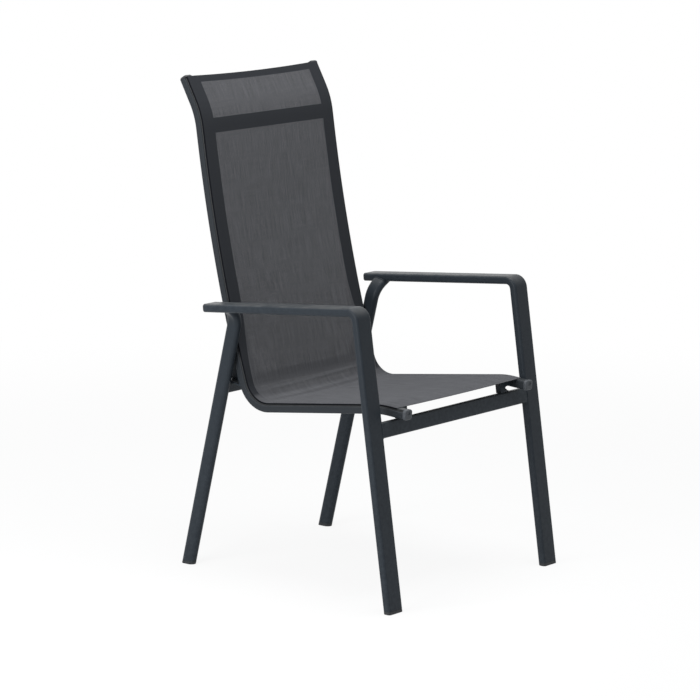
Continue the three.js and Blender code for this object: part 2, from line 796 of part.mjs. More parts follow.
// A band of even thickness along a line of points, as a closed outline.
function ribbon(points, thickness) {
  const offset = (sideSign) => points.map((point, index) => {
    const before = points[Math.max(index - 1, 0)];
    const after = points[Math.min(index + 1, points.length - 1)];
    const inward = new THREE.Vector2().subVectors(point, before).normalize();
    const outward = new THREE.Vector2().subVectors(after, point).normalize();
    if (index === 0) inward.copy(outward);
    if (index === points.length - 1) outward.copy(inward);
    const along = new THREE.Vector2().addVectors(inward, outward).normalize();
    const miter = thickness / 2 / Math.abs(along.dot(inward));
    return new THREE.Vector2(-along.y, along.x).multiplyScalar(sideSign * miter).add(point);
  });
  return [...offset(1), ...offset(-1).reverse()];
}

function slingGeometry() {
  const half = slingHalf();
  const middle = new THREE.Vector2(0, railDepth / 2 + clearance + fabricThickness / 2 - fabricSag);
  const mirrored = half.map((point) => new THREE.Vector2(-point.x, point.y)).reverse();
  const outline = ribbon([...half, middle, ...mirrored], fabricThickness);
  return toGeometry(toSolid(sweep(tubeShape(outline), railRoute(fabricFrontSetback, fabricTopSetback))));
}

addPiece('sling', slingGeometry(), slingFinish);

// Spreader bar, with an end fitting whose peg sits in a hole of each rail
const spreaderHalf = railInnerFace - 2 * clearance - spreaderEndThickness;

function spreaderOutline(inset) {
  const thick = spreaderThick - 2 * inset;
  return roundedOutline(spreaderTall - 2 * inset, thick, thick / 2);
}

function spreaderGeometry() {
  const shape = tubeShape(spreaderOutline(0), spreaderOutline(spreaderWall));
  return toGeometry(toSolid(extrude(shape, 2 * spreaderHalf).applyMatrix4(acrossChair(spreaderLine()))));
}

function spreaderEndGeometry(sign) {
  const bore = spreaderOutline(spreaderWall + plugClearance);
  const flangeStart = spreaderHalf + clearance;
  const flangeMiddle = flangeStart + spreaderEndThickness / 2;
  const flange = stack([
    { outline: spreaderOutline(0), height: flangeStart },
    { outline: spreaderOutline(0), height: flangeStart + spreaderEndThickness },
  ]);
  const plug = stack([
    { outline: bore, height: spreaderHalf - spreaderEndPlug },
    { outline: bore, height: flangeMiddle },
  ]);
  const peg = rod(
    pegRadius,
    new THREE.Vector3(0, 0, flangeMiddle),
    new THREE.Vector3(0, 0, railInnerFace + railWall + pegReach),
  );
  const geometry = toGeometry(toSolid(flange).add(toSolid(plug)).add(peg));
  if (sign < 0) geometry.rotateY(Math.PI);
  return geometry.applyMatrix4(acrossChair(spreaderLine()));
}

addPiece('spreader_bar', spreaderGeometry(), frameFinish);
for (const { name, sign } of sides) {
  addPiece(`spreader_end_${name}`, spreaderEndGeometry(sign), plasticFinish);
}

// Front brackets: a foot on the crossbar, a post, and an arm out to the inner face of the rail
const frontBracketSeat = frontBarTall / 2 + clearance;

function frontBracketShape(sign) {
  const shape = new THREE.Shape();
  const x = (inset) => sign * (railInnerFace - inset);
  const footTop = frontBracketSeat + bracketFootThickness;
  const armLow = frontMeetingRise - bracketArmTall / 2;
  const armHigh = frontMeetingRise + bracketArmTall / 2;
  shape.moveTo(x(bracketPostStart), frontBracketSeat);
  shape.lineTo(x(bracketFootEnd), frontBracketSeat);
  shape.lineTo(x(bracketFootEnd), footTop);
  shape.lineTo(x(bracketPostEnd - bracketFillet), footTop);
  shape.quadraticCurveTo(x(bracketPostEnd), footTop, x(bracketPostEnd), footTop + bracketFillet);
  shape.lineTo(x(bracketPostEnd), armLow - bracketFillet);
  shape.quadraticCurveTo(x(bracketPostEnd), armLow, x(bracketPostEnd - bracketFillet), armLow);
  shape.lineTo(x(clearance), armLow);
  shape.lineTo(x(clearance), armHigh);
  shape.lineTo(x(bracketPostStart), armHigh);
  return new THREE.Shape(shape.getPoints(cornerSteps));
}

// Drawn with x across the chair and y up the crossbar's lean, then set on the crossbar.
function frontBracketMatrix() {
  const up = direction(frontBar.heading);
  const across = new THREE.Vector3(1, 0, 0);
  const matrix = new THREE.Matrix4().makeBasis(across, up, new THREE.Vector3().crossVectors(across, up));
  return matrix.setPosition(0, frontBar.place.x, frontBar.place.y);
}

function frontBracketGeometry(sign) {
  const body = extrude(frontBracketShape(sign), frontBracketDeep);
  const across = new THREE.Vector3(1, 0, 0);
  const up = new THREE.Vector3(0, 1, 0);
  const railScrewPoint = new THREE.Vector3(sign * (railInnerFace - bracketPostStart), frontMeetingRise, 0);
  const footScrewPoint = new THREE.Vector3(sign * footScrewAcross, frontBracketSeat, 0);
  const solid = toSolid(body)
    .subtract(hole(railScrewPoint, across, screwRadius + clearance, bracketPostStart + overrun))
    .subtract(hole(footScrewPoint, up));
  return toGeometry(solid).applyMatrix4(frontBracketMatrix());
}

// Rear brackets: an angle with its base on the crossbar and its riser along the back of the rail
function rearBracketGeometry() {
  const shape = new THREE.Shape([
    step(baseUnder, rearBarDeep / 2),
    riserCorner.place,
    step(riserCorner, rearBracketRise),
    step(riserCorner, rearBracketRise, -rearBracketThickness),
    meeting(baseUpper, riserRear),
    step(baseUpper, rearBarDeep / 2),
  ]);
  const body = extrude(shape, rearBracketWide);
  const axes = [new THREE.Vector3(0, 1, 0), new THREE.Vector3(0, 0, 1), new THREE.Vector3(1, 0, 0)];
  const solid = toSolid(body.applyMatrix4(new THREE.Matrix4().makeBasis(...axes)))
    .subtract(hole(inSpace(baseUnder.place, 0), direction(rearBar.heading)))
    .subtract(hole(inSpace(riserScrewPlace, 0), direction(riserCorner.heading + Math.PI / 2)));
  return toGeometry(solid);
}

// A dome-headed screw with its head's underside at zero and its head along +Y.
function screwGeometry(headRadius, headHeight, shank) {
  const profile = [
    new THREE.Vector2(0, -shank),
    new THREE.Vector2(screwRadius, -shank),
    new THREE.Vector2(screwRadius, 0),
    new THREE.Vector2(headRadius, 0),
  ];
  const rim = headHeight * rimShare;
  for (let count = 0; count < edgeSteps; count += 1) {
    const angle = (Math.PI / 2) * (count / edgeSteps);
    const rise = (headHeight - rim) * Math.sin(angle);
    profile.push(new THREE.Vector2(headRadius * Math.cos(angle), rim + rise));
  }
  profile.push(new THREE.Vector2(0, headHeight));
  return toGeometry(toSolid(new THREE.LatheGeometry(profile, roundSteps)));
}

// Sets a screw on a seat, with its head on the side that the outward direction points to.
function addScrew(name, seat, outward, headRadius, headHeight, grip) {
  const geometry = screwGeometry(headRadius, headHeight, grip + clearance);
  const place = outward.clone().multiplyScalar(clearance).add(seat);
  const mesh = addPiece(name, geometry, steelFinish, place);
  mesh.quaternion.setFromUnitVectors(new THREE.Vector3(0, 1, 0), outward);
}

for (const { name, sign } of sides) {
  const railX = new THREE.Vector3(sign * railHalfSpacing, 0, 0);
  addPiece(`front_bracket_${name}`, frontBracketGeometry(sign), frameFinish);
  addPiece(`rear_bracket_${name}`, rearBracketGeometry(), frameFinish, railX);
  addScrew(
    `front_foot_screw_${name}`,
    inSpace(step(frontBar, frontBracketSeat + bracketFootThickness), sign * footScrewAcross),
    direction(frontBar.heading),
    footScrewHeadRadius,
    footScrewHeadHeight,
    bracketFootThickness + barWall + screwGrip,
  );
  addScrew(
    `front_rail_screw_${name}`,
    inSpace(frontMeeting, sign * (railInnerFace - bracketPostStart)),
    new THREE.Vector3(-sign, 0, 0),
    screwHeadRadius,
    screwHeadHeight,
    bracketPostStart + railWall + screwGrip,
  );
  addScrew(
    `rear_base_screw_${name}`,
    inSpace(baseUpper.place, sign * railHalfSpacing),
    direction(rearBar.heading),
    screwHeadRadius,
    screwHeadHeight,
    rearBracketThickness + barWall + screwGrip,
  );
  addScrew(
    `rear_rail_screw_${name}`,
    inSpace(riserScrewPlace, sign * railHalfSpacing),
    direction(riserCorner.heading - Math.PI / 2),
    screwHeadRadius,
    screwHeadHeight,
    rearBracketThickness + railWall + screwGrip,
  );
}

// The origin is the middle of the chair's footprint box, on the floor.
const extent = new THREE.Box3().setFromObject(chair, true);
chair.position.y = -(extent.min.y + extent.max.y) / 2;

export default chair;
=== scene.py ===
"""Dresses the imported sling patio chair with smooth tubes, moulded caps and a see-through mesh sling.

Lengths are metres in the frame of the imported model: +Z up, the sitter faces -Y, and +X is the
sitter's left. Side profiles are drawn in the YZ plane, with headings measured from +Y towards +Z.
"""

import logging
import math
from dataclasses import dataclass, field
from enum import Enum
from typing import Callable, Optional

import bmesh
import bpy
from mathutils import Matrix, Vector


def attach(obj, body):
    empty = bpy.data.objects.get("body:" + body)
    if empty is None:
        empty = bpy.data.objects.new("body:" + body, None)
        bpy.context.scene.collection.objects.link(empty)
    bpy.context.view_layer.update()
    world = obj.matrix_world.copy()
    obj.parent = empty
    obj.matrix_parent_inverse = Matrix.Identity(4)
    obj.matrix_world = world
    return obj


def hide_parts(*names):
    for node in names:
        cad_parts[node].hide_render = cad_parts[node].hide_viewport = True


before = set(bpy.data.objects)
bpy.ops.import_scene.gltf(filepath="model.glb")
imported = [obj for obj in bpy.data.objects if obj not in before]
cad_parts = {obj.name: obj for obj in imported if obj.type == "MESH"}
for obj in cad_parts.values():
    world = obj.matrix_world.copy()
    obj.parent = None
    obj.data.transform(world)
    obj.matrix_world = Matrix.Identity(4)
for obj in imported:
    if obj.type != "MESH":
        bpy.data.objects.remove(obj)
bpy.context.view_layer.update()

LOG = logging.getLogger("sling_chair")
MM = 0.001
BODY = "root"
FACET_SAG = 0.02 * MM  # largest gap between a bend and its facets
TOUCH = 0.001 * MM  # lengths closer than this are equal
WELD = 0.002 * MM  # corners closer than this become one
ACROSS, UP = Vector((1.0, 0.0, 0.0)), Vector((0.0, 0.0, 1.0))
FINE_BEND, COARSE_BEND = 3.0, 6.0  # largest turn of a facet, in degrees
SHADE_ANGLE, WELD_SHADE_ANGLE = 35.0, 60.0  # facets closer than this look like one surface, in degrees
Piece = bpy.types.Object
Material = bpy.types.Material
Socket = bpy.types.NodeSocket
Sockets = bpy.types.bpy_prop_collection
Outline = list[tuple[float, float]]
Color = tuple[float, float, float]
Row = tuple[float, float, float]  # distance on the rail, flat length of the cloth, heading
HEM_COLOR = (0.033, 0.0352, 0.0395)
FIRST_COLUMN, COLUMN_STEP, OUTPUT_COLUMN = -800, 60, 1200  # where nodes stand in the node editor


class Side(Enum):
    """The sitter's left and right half of the chair."""

    LEFT = 1
    RIGHT = -1

    @property
    def label(self) -> str:
        """The side's word in piece names."""
        return self.name.lower()

    @property
    def mirror(self) -> Matrix:
        """Carries a piece modelled on the left to this side."""
        return Matrix.Scale(self.value, 4, (1.0, 0.0, 0.0))


class Slot(Enum):
    """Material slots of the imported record."""

    FRAME = "frame"
    RAIL = "rail"
    PLASTIC = "plastic"
    GREY_PLASTIC = "grey_plastic"
    SLING = "sling"
    CORD = "cord"
    STEEL = "steel"


# Outlines and side profiles


def rounded_rectangle(width: float, height: float, corner: float, segments: int = 6) -> Outline:
    """Lists the points of a rectangle with round corners, counter-clockwise.

    Args:
        width: Size along the outline's x.
        height: Size along the outline's y.
        corner: Radius of the corners.
        segments: Facets in each corner.

    Returns:
        The points, starting at the lower end of the upper right corner.
    """
    points: Outline = []
    for quarter, (sign_x, sign_y) in enumerate(((1, 1), (-1, 1), (-1, -1), (1, -1))):
        for step in range(segments + 1):
            angle = math.pi / 2 * (quarter + step / segments)
            points.append((
                sign_x * (width / 2 - corner) + corner * math.cos(angle),
                sign_y * (height / 2 - corner) + corner * math.sin(angle),
            ))
    return points


def arc_points(
    middle: tuple[float, float], radius: float, first: float, last: float, segments: int
) -> Outline:
    """Lists the points of an arc.

    Args:
        middle: The arc's middle.
        radius: Its radius.
        first: Angle of its first point, in degrees.
        last: Angle of its last point, in degrees.
        segments: Facets in the arc.

    Returns:
        The points from the first to the last.
    """
    turns = (math.radians(first + (last - first) * step / segments) for step in range(segments + 1))
    return [(middle[0] + radius * math.cos(turn), middle[1] + radius * math.sin(turn)) for turn in turns]


def frame_at(place: Vector, x_axis: Vector, y_axis: Vector, z_axis: Vector) -> Matrix:
    """Gives the move to a place and onto three axes."""
    return Matrix.Translation(place) @ Matrix((x_axis, y_axis, z_axis)).transposed().to_4x4()


def heading_vector(heading: float) -> Vector:
    """Gives the unit vector of a heading in the YZ plane."""
    return Vector((0.0, math.cos(heading), math.sin(heading)))


def left_vector(heading: float) -> Vector:
    """Gives the unit vector to the left of a heading in the YZ plane."""
    return Vector((0.0, -math.sin(heading), math.cos(heading)))


def across_matrix(place: Vector, heading: float) -> Matrix:
    """Places a section across a route: its x runs to -X, its y to the left, its z along the heading."""
    return frame_at(place, -ACROSS, left_vector(heading), heading_vector(heading))


@dataclass
class Route:
    """A side profile of straight runs and round bends, walked by arc length.

    Attributes:
        place: Where the route has got to.
        heading: Its heading there, in radians.
        pieces: Length, curvature, start place and start heading of each run and bend.
    """

    place: Vector
    heading: float
    pieces: list[tuple[float, float, Vector, float]] = field(default_factory=list)

    def add(self, length: float, curvature: float) -> "Route":
        """Adds a piece of the given length and curvature."""
        self.pieces.append((length, curvature, self.place.copy(), self.heading))
        self.place, self.heading = self.along(self.pieces[-1], length)
        return self

    def run(self, length: float) -> "Route":
        """Adds a straight run."""
        return self.add(length, 0.0)

    def bend(self, radius: float, turn: float) -> "Route":
        """Adds a round bend, to the left where the turn in degrees is positive."""
        return self.add(radius * abs(math.radians(turn)), math.copysign(1 / radius, turn))

    @staticmethod
    def along(piece: tuple[float, float, Vector, float], distance: float) -> tuple[Vector, float]:
        """Finds the place and heading at a distance into a piece."""
        _, curvature, start, first = piece
        heading = first + curvature * distance
        if curvature == 0:
            return start + heading_vector(first) * distance, heading
        return start + (left_vector(first) - left_vector(heading)) / curvature, heading

    @property
    def length(self) -> float:
        """The whole length of the route."""
        return sum(piece[0] for piece in self.pieces)

    def station(self, distance: float) -> tuple[Vector, float]:
        """Finds the place and heading at a distance from the route's start."""
        left = distance
        for piece in self.pieces[:-1]:
            if left <= piece[0]:
                return self.along(piece, left)
            left -= piece[0]
        return self.along(self.pieces[-1], left)

    def across(self, distance: float) -> Matrix:
        """Places a section across the route at a distance from its start."""
        return across_matrix(*self.station(distance))

    def distances(self, bend_step: float, run_step: float) -> list[float]:
        """Lists distances along the route, close together in bends and further apart on runs.

        Args:
            bend_step: Largest turn between two distances, in degrees.
            run_step: Largest length between two distances.

        Returns:
            Rising distances from zero to the route's length.
        """
        found = [0.0]
        start = 0.0
        for length, curvature, _, _ in self.pieces:
            count = max(facet_count(length, curvature, bend_step), math.ceil(length / run_step))
            found.extend(start + length * step / count for step in range(1, count + 1))
            start += length
        return found


def facet_count(length: float, curvature: float, bend_step: float) -> int:
    """Counts the facets of a piece of a route: one for a run, and enough to look round for a bend."""
    if curvature == 0:
        return 1
    turns = math.degrees(abs(curvature) * length) / bend_step
    chord = math.sqrt(8 * FACET_SAG / abs(curvature))
    return max(2, math.ceil(turns), math.ceil(length / chord))


def bend_allowance(radius: float, turn: float) -> float:
    """How much of a corner-to-corner length a bend takes up on each side of the corner."""
    return radius * math.tan(math.radians(abs(turn)) / 2)


# Modelling steps, done with the operators as by hand


def pick(piece: Piece) -> None:
    """Makes a piece the only selected object and the active one."""
    bpy.ops.object.select_all(action="DESELECT")
    piece.select_set(True)
    bpy.context.view_layer.objects.active = piece


def edit(piece: Piece, everything: bool = False) -> None:
    """Picks a piece and enters edit mode, with all of it selected or nothing."""
    if bpy.context.mode != "OBJECT":
        leave_edit()
    pick(piece)
    bpy.ops.object.mode_set(mode="EDIT")
    bpy.ops.mesh.select_all(action="SELECT" if everything else "DESELECT")


def leave_edit() -> None:
    """Goes back to object mode."""
    bpy.ops.object.mode_set(mode="OBJECT")


def select_parts(piece: Piece, kind: str, wanted: Callable[[object], bool]) -> int:
    """Selects the faces or edges of a piece in edit mode that pass a test.

    Args:
        piece: The piece in edit mode.
        kind: FACE or EDGE.
        wanted: The test, given each face or edge.

    Returns:
        How many were selected.
    """
    bpy.ops.mesh.select_all(action="DESELECT")
    bpy.ops.mesh.select_mode(type=kind)
    mesh = bmesh.from_edit_mesh(piece.data)
    found = [part for part in (mesh.faces if kind == "FACE" else mesh.edges) if wanted(part)]
    for part in found:
        part.select_set(True)
    bmesh.update_edit_mesh(piece.data)
    return len(found)


def extrude(move: object) -> None:
    """Extrudes what is selected in edit mode."""
    bpy.ops.mesh.extrude_region_move(TRANSFORM_OT_translate={"value": move})


def extrude_up(distance: float) -> None:
    """Extrudes what is selected in edit mode along Z."""
    extrude((0.0, 0.0, distance))


def resize_ring(share_x: float, share_y: float, height: float) -> None:
    """Resizes the selected ring about its own middle on Z."""
    bpy.ops.transform.resize(value=(share_x, share_y, 1.0), center_override=(0.0, 0.0, height))


def named(piece: Piece, name: str) -> Piece:
    """Names a piece and its data."""
    piece.name = name
    piece.data.name = name
    return piece


def start_solid(name: str, outline: Outline, place: Matrix) -> Piece:
    """Adds a filled ring, puts its corners on an outline and leaves it selected in edit mode."""
    bpy.ops.object.select_all(action="DESELECT")
    bpy.ops.mesh.primitive_circle_add(vertices=len(outline), radius=1.0, fill_type="NGON")
    piece = named(bpy.context.object, name)
    for vertex, (x, y) in zip(piece.data.vertices, outline):
        vertex.co = place @ Vector((x, y, 0.0))
    edit(piece, everything=True)
    return piece


def tidy_shell(piece: Piece) -> Piece:
    """Merges doubled corners, turns all faces outwards and gives the piece back."""
    edit(piece, everything=True)
    bpy.ops.mesh.remove_doubles(threshold=WELD)
    bpy.ops.mesh.normals_make_consistent(inside=False)
    leave_edit()
    return piece


def sweep(name: str, outline: Outline, route: Route, bend_step: float) -> Piece:
    """Pushes a section along a route: straight runs are extruded and bends are spun.

    Args:
        name: Name of the new piece.
        outline: The section's points.
        route: The route in the YZ plane.
        bend_step: Largest turn of one facet in a bend, in degrees.

    Returns:
        A closed solid with a flat face at each end.
    """
    piece = start_solid(name, outline, route.across(0.0))
    for length, curvature, place, heading in route.pieces:
        if curvature == 0:
            extrude(heading_vector(heading) * length)
            continue
        bpy.ops.mesh.spin(
            steps=facet_count(length, curvature, bend_step),
            angle=abs(curvature) * length,
            center=place + left_vector(heading) / curvature,
            axis=(-math.copysign(1.0, curvature), 0.0, 0.0),
        )
    return tidy_shell(piece)


def push_out(name: str, outline: Outline, place: Matrix, start: float, end: float) -> Piece:
    """Extrudes a section from one height to another along its own z."""
    piece = start_solid(name, outline, place @ Matrix.Translation((0.0, 0.0, start)))
    extrude(place.to_3x3() @ Vector((0.0, 0.0, end - start)))
    return tidy_shell(piece)


def cut_off(piece: Piece, place: Vector, toward: Vector, fill: bool = False) -> None:
    """Cuts a piece with a plane and takes away what lies beyond it."""
    edit(piece, everything=True)
    bpy.ops.mesh.bisect(plane_co=place, plane_no=toward, use_fill=fill, clear_outer=True)
    leave_edit()


def delete_faces(piece: Piece, wanted: Callable[[bmesh.types.BMFace], bool]) -> None:
    """Deletes the faces that pass a test and leaves the shell open there."""
    edit(piece)
    if select_parts(piece, "FACE", wanted):
        bpy.ops.mesh.delete(type="FACE")
    leave_edit()


def apply_modifier(piece: Piece, kind: str, **settings: object) -> None:
    """Adds a modifier, sets it and applies it.

    Args:
        piece: The piece to change.
        kind: Blender's name for the modifier type.
        **settings: Values for the modifier.
    """
    pick(piece)
    modifier = piece.modifiers.new(kind.title(), kind)
    for key, value in settings.items():
        setattr(modifier, key, value)
    bpy.ops.object.modifier_apply(modifier=modifier.name)


def thicken_inwards(piece: Piece, wall: float) -> None:
    """Gives an open shell a wall on its inner side."""
    apply_modifier(piece, "SOLIDIFY", thickness=wall, offset=-1.0, use_even_offset=True)


def round_edges(piece: Piece, width: float, segments: int, angle: float) -> None:
    """Rounds the edges that are sharper than the angle in degrees."""
    settings = {"limit_method": "ANGLE", "angle_limit": math.radians(angle)}
    apply_modifier(piece, "BEVEL", width=width, segments=segments, **settings)


def smooth(piece: Piece, angle: float) -> None:
    """Shades a piece smooth below the angle in degrees, with its flats kept flat."""
    pick(piece)
    bpy.ops.object.shade_smooth_by_angle(angle=math.radians(angle))
    apply_modifier(piece, "WEIGHTED_NORMAL", keep_sharp=True, weight=50)


def remove(piece: Piece) -> None:
    """Deletes a helper object."""
    bpy.data.objects.remove(piece, do_unlink=True)


def copy_of(piece: Piece, name: str) -> Piece:
    """Copies an object with a mesh of its own."""
    twin = piece.copy()
    twin.data = piece.data.copy()
    bpy.context.scene.collection.objects.link(twin)
    return named(twin, name)


def move_mesh(piece: Piece, matrix: Matrix) -> Piece:
    """Moves a mesh in its object, keeps its faces outwards and gives the piece back."""
    piece.data.transform(matrix)
    if matrix.determinant() < 0:
        piece.data.flip_normals()
    piece.data.update()
    return piece


def combine(piece: Piece, other: Piece, operation: str, **settings: object) -> None:
    """Joins another solid to a piece or cuts it away, and deletes it."""
    apply_modifier(piece, "BOOLEAN", operation=operation, object=other, solver="EXACT", **settings)
    remove(other)


def upright_at(place: Vector, outward: Vector) -> Matrix:
    """Gives the move that turns a piece's z to a direction and puts it at a place."""
    return Matrix.Translation(place) @ outward.to_track_quat("Z", "Y").to_matrix().to_4x4()


def shift_across(distance: float) -> Matrix:
    """Gives the move along X by the distance."""
    return Matrix.Translation((distance, 0.0, 0.0))


def cut_by(piece: Piece, cutter: Piece, mark: Material) -> None:
    """Cuts a solid away from another, and leaves the cut open.

    Args:
        piece: The solid to cut.
        cutter: The solid that is taken away; it is deleted afterwards.
        mark: Material that the cut faces get, so that they can be found and deleted.
    """
    piece.data.materials.append(bpy.data.materials.get("uncut") or bpy.data.materials.new("uncut"))
    cutter.data.materials.append(mark)
    combine(piece, cutter, "DIFFERENCE", material_mode="TRANSFER")
    number = piece.data.materials.find(mark.name)
    delete_faces(piece, lambda face: face.material_index == number)


def weld_bead(name: str, shell: Piece, near: Callable[[Vector], bool], radius: float) -> Piece:
    """Lays a bead of weld along the open edge of a shell.

    Args:
        name: Name of the bead.
        shell: The shell with the open edge, before it gets its wall.
        near: Test of the places that the bead may run through.
        radius: Radius of the bead.

    Returns:
        The bead, as a closed round tube.
    """
    edit(shell)
    select_parts(shell, "EDGE", lambda edge: edge.is_boundary and all(near(end.co) for end in edge.verts))
    bpy.ops.mesh.duplicate()
    bpy.ops.mesh.separate(type="SELECTED")
    leave_edit()
    bead = next(item for item in bpy.context.selected_objects if item != shell)
    pick(bead)
    bpy.ops.object.convert(target="CURVE")
    line = bpy.context.object.data
    line.bevel_depth = radius
    line.bevel_resolution = 2
    bpy.ops.object.convert(target="MESH")
    return tidy_shell(named(bpy.context.object, name))


# Shared shader effects


class NodeWriter:
    """Adds nodes to a tree from left to right."""

    def __init__(self, tree: bpy.types.NodeTree) -> None:
        """Starts at the left edge of the tree."""
        self.tree = tree
        self.column = FIRST_COLUMN

    def add(self, kind: str, inputs: Optional[dict] = None, **settings: object) -> bpy.types.Node:
        """Adds a node.

        Args:
            kind: Blender's name for the node type.
            inputs: Socket name or number to the value or the socket that feeds it.
            **settings: Values for the node's own properties.

        Returns:
            The new node.
        """
        node = self.tree.nodes.new(kind)
        node.location = (self.column, 0)
        self.column += COLUMN_STEP
        for key, value in settings.items():
            setattr(node, key, value)
        for key, value in (inputs or {}).items():
            self.feed(node.inputs[key], value)
        return node

    def feed(self, socket: Socket, value: object) -> None:
        """Links a socket to another, or sets its value."""
        if isinstance(value, Socket):
            self.tree.links.new(value, socket)
        else:
            socket.default_value = value

    def math(self, operation: str, first: object, second: object = 0.0) -> Socket:
        """Adds a math node and returns its result."""
        return self.add("ShaderNodeMath", {0: first, 1: second}, operation=operation).outputs[0]

    def times(self, first: object, second: object) -> Socket:
        """Multiplies two values."""
        return self.math("MULTIPLY", first, second)

    def plus(self, first: object, second: object) -> Socket:
        """Adds two values."""
        return self.math("ADD", first, second)

    def minus(self, first: object, second: object) -> Socket:
        """Takes the second value from the first."""
        return self.math("SUBTRACT", first, second)

    def remap(self, value: object, low: object, high: object, to_low: object, to_high: float) -> Socket:
        """Adds a smooth map range node and returns its result."""
        inputs = {"Value": value, "From Min": low, "From Max": high, "To Min": to_low, "To Max": to_high}
        return self.add("ShaderNodeMapRange", inputs, interpolation_type="SMOOTHSTEP").outputs["Result"]

    def mix(self, factor: object, first: object, second: object) -> Socket:
        """Adds a colour mix node and returns its result."""
        inputs = {"Factor": factor, 6: first, 7: second}  # 6 and 7 are the node's colour sockets
        return self.add("ShaderNodeMix", inputs, data_type="RGBA").outputs[2]

    def scaled(self, color: object, share: object) -> Socket:
        """Multiplies a colour by a value."""
        inputs = {0: color, "Scale": share}
        return self.add("ShaderNodeVectorMath", inputs, operation="SCALE").outputs[0]

    def noise(self, vector: object, scale: object, detail: float) -> Socket:
        """Adds a noise texture and returns its value."""
        inputs = {"Vector": vector, "Scale": scale, "Detail": detail}
        return self.add("ShaderNodeTexNoise", inputs).outputs["Fac"]

    def stretched(self, vector: object, x: float, y: float) -> Socket:
        """Stretches a vector's x and y."""
        inputs = {"Vector": vector, "Scale": (x, y, 1.0)}
        return self.add("ShaderNodeMapping", inputs).outputs["Vector"]

    def group(self, kind: str, inputs: dict) -> Sockets:
        """Places a shared effect with its own values and returns its outputs."""
        return self.add("ShaderNodeGroup", inputs, node_tree=GROUPS[kind]).outputs


def new_group(
    name: str, inputs: dict[str, object], outputs: tuple[str, ...]
) -> tuple[NodeWriter, Sockets, Sockets]:
    """Makes a shader node group with named sockets.

    Args:
        name: Name of the group.
        inputs: Name and default of each input; None stands for a vector and a tuple for a colour.
        outputs: Name of each output.

    Returns:
        A writer for its nodes, its inputs as sockets to take from, and its outputs as sockets to feed.
    """
    tree = bpy.data.node_groups.new(name, "ShaderNodeTree")
    kinds = {type(None): "NodeSocketVector", tuple: "NodeSocketColor", float: "NodeSocketFloat"}
    for label, default in inputs.items():
        socket = tree.interface.new_socket(name=label, in_out="INPUT", socket_type=kinds[type(default)])
        if default is not None:
            socket.default_value = default
    for label in outputs:
        kind = kinds[tuple if label == "Color" else float]
        tree.interface.new_socket(name=label, in_out="OUTPUT", socket_type=kind)
    source = tree.nodes.new("NodeGroupInput")
    target = tree.nodes.new("NodeGroupOutput")
    source.location = (-1000, 0)
    target.location = (1000, 0)
    return NodeWriter(tree), source.outputs, target.inputs


def grain_group() -> bpy.types.NodeTree:
    """Builds the fine pebble and slow unevenness of sprayed powder and moulded surfaces."""
    write, given, out = new_group(
        "surface_grain",
        {
            "Vector": None, "Grain Scale": 1400.0, "Cloud Scale": 9.0, "Tone Spread": 0.12,
            "Roughness": 0.5, "Roughness Spread": 0.1, "Color": (0.1, 0.1, 0.1, 1.0),
        },
        ("Color", "Roughness", "Height"),
    )
    grain = write.noise(given["Vector"], given["Grain Scale"], 2.0)
    cloud = write.noise(given["Vector"], given["Cloud Scale"], 3.0)
    mixed = write.plus(write.times(grain, 0.4), write.times(cloud, 0.6))
    swing = write.minus(mixed, 0.5)
    tone = write.plus(write.times(swing, given["Tone Spread"]), 1.0)
    rough_swing = write.times(swing, given["Roughness Spread"])
    write.feed(out["Color"], write.scaled(given["Color"], tone))
    write.feed(out["Roughness"], write.plus(rough_swing, given["Roughness"]))
    write.feed(out["Height"], grain)
    return write.tree


def wear_group() -> bpy.types.NodeTree:
    """Builds the mask of edges that handling has rubbed a little brighter and smoother."""
    write, given, out = new_group(
        "edge_wear", {"Vector": None, "Start": 0.52, "End": 0.62, "Amount": 0.5}, ("Mask",)
    )
    pointed = write.add("ShaderNodeNewGeometry").outputs["Pointiness"]
    inputs = {"Value": pointed, "From Min": given["Start"], "From Max": given["End"]}
    edge = write.add("ShaderNodeMapRange", inputs).outputs["Result"]
    breakup = write.noise(given["Vector"], 120.0, 4.0)
    patchy = write.times(edge, write.remap(breakup, 0.35, 0.65, 0.2, 1.0))
    write.feed(out["Mask"], write.times(patchy, given["Amount"]))
    return write.tree


def dust_group() -> bpy.types.NodeTree:
    """Builds the mask of thin dust on faces that look upwards."""
    write, given, out = new_group("settled_dust", {"Vector": None, "Amount": 0.1}, ("Mask",))
    normal = write.add("ShaderNodeNewGeometry").outputs["Normal"]
    upward = write.add("ShaderNodeSeparateXYZ", {0: normal}).outputs["Z"]
    facing = write.remap(upward, 0.3, 1.0, 0.0, 1.0)
    noise = write.noise(given["Vector"], 35.0, 5.0)
    patchy = write.times(facing, write.remap(noise, 0.3, 0.7, 0.3, 1.0))
    write.feed(out["Mask"], write.times(patchy, given["Amount"]))
    return write.tree


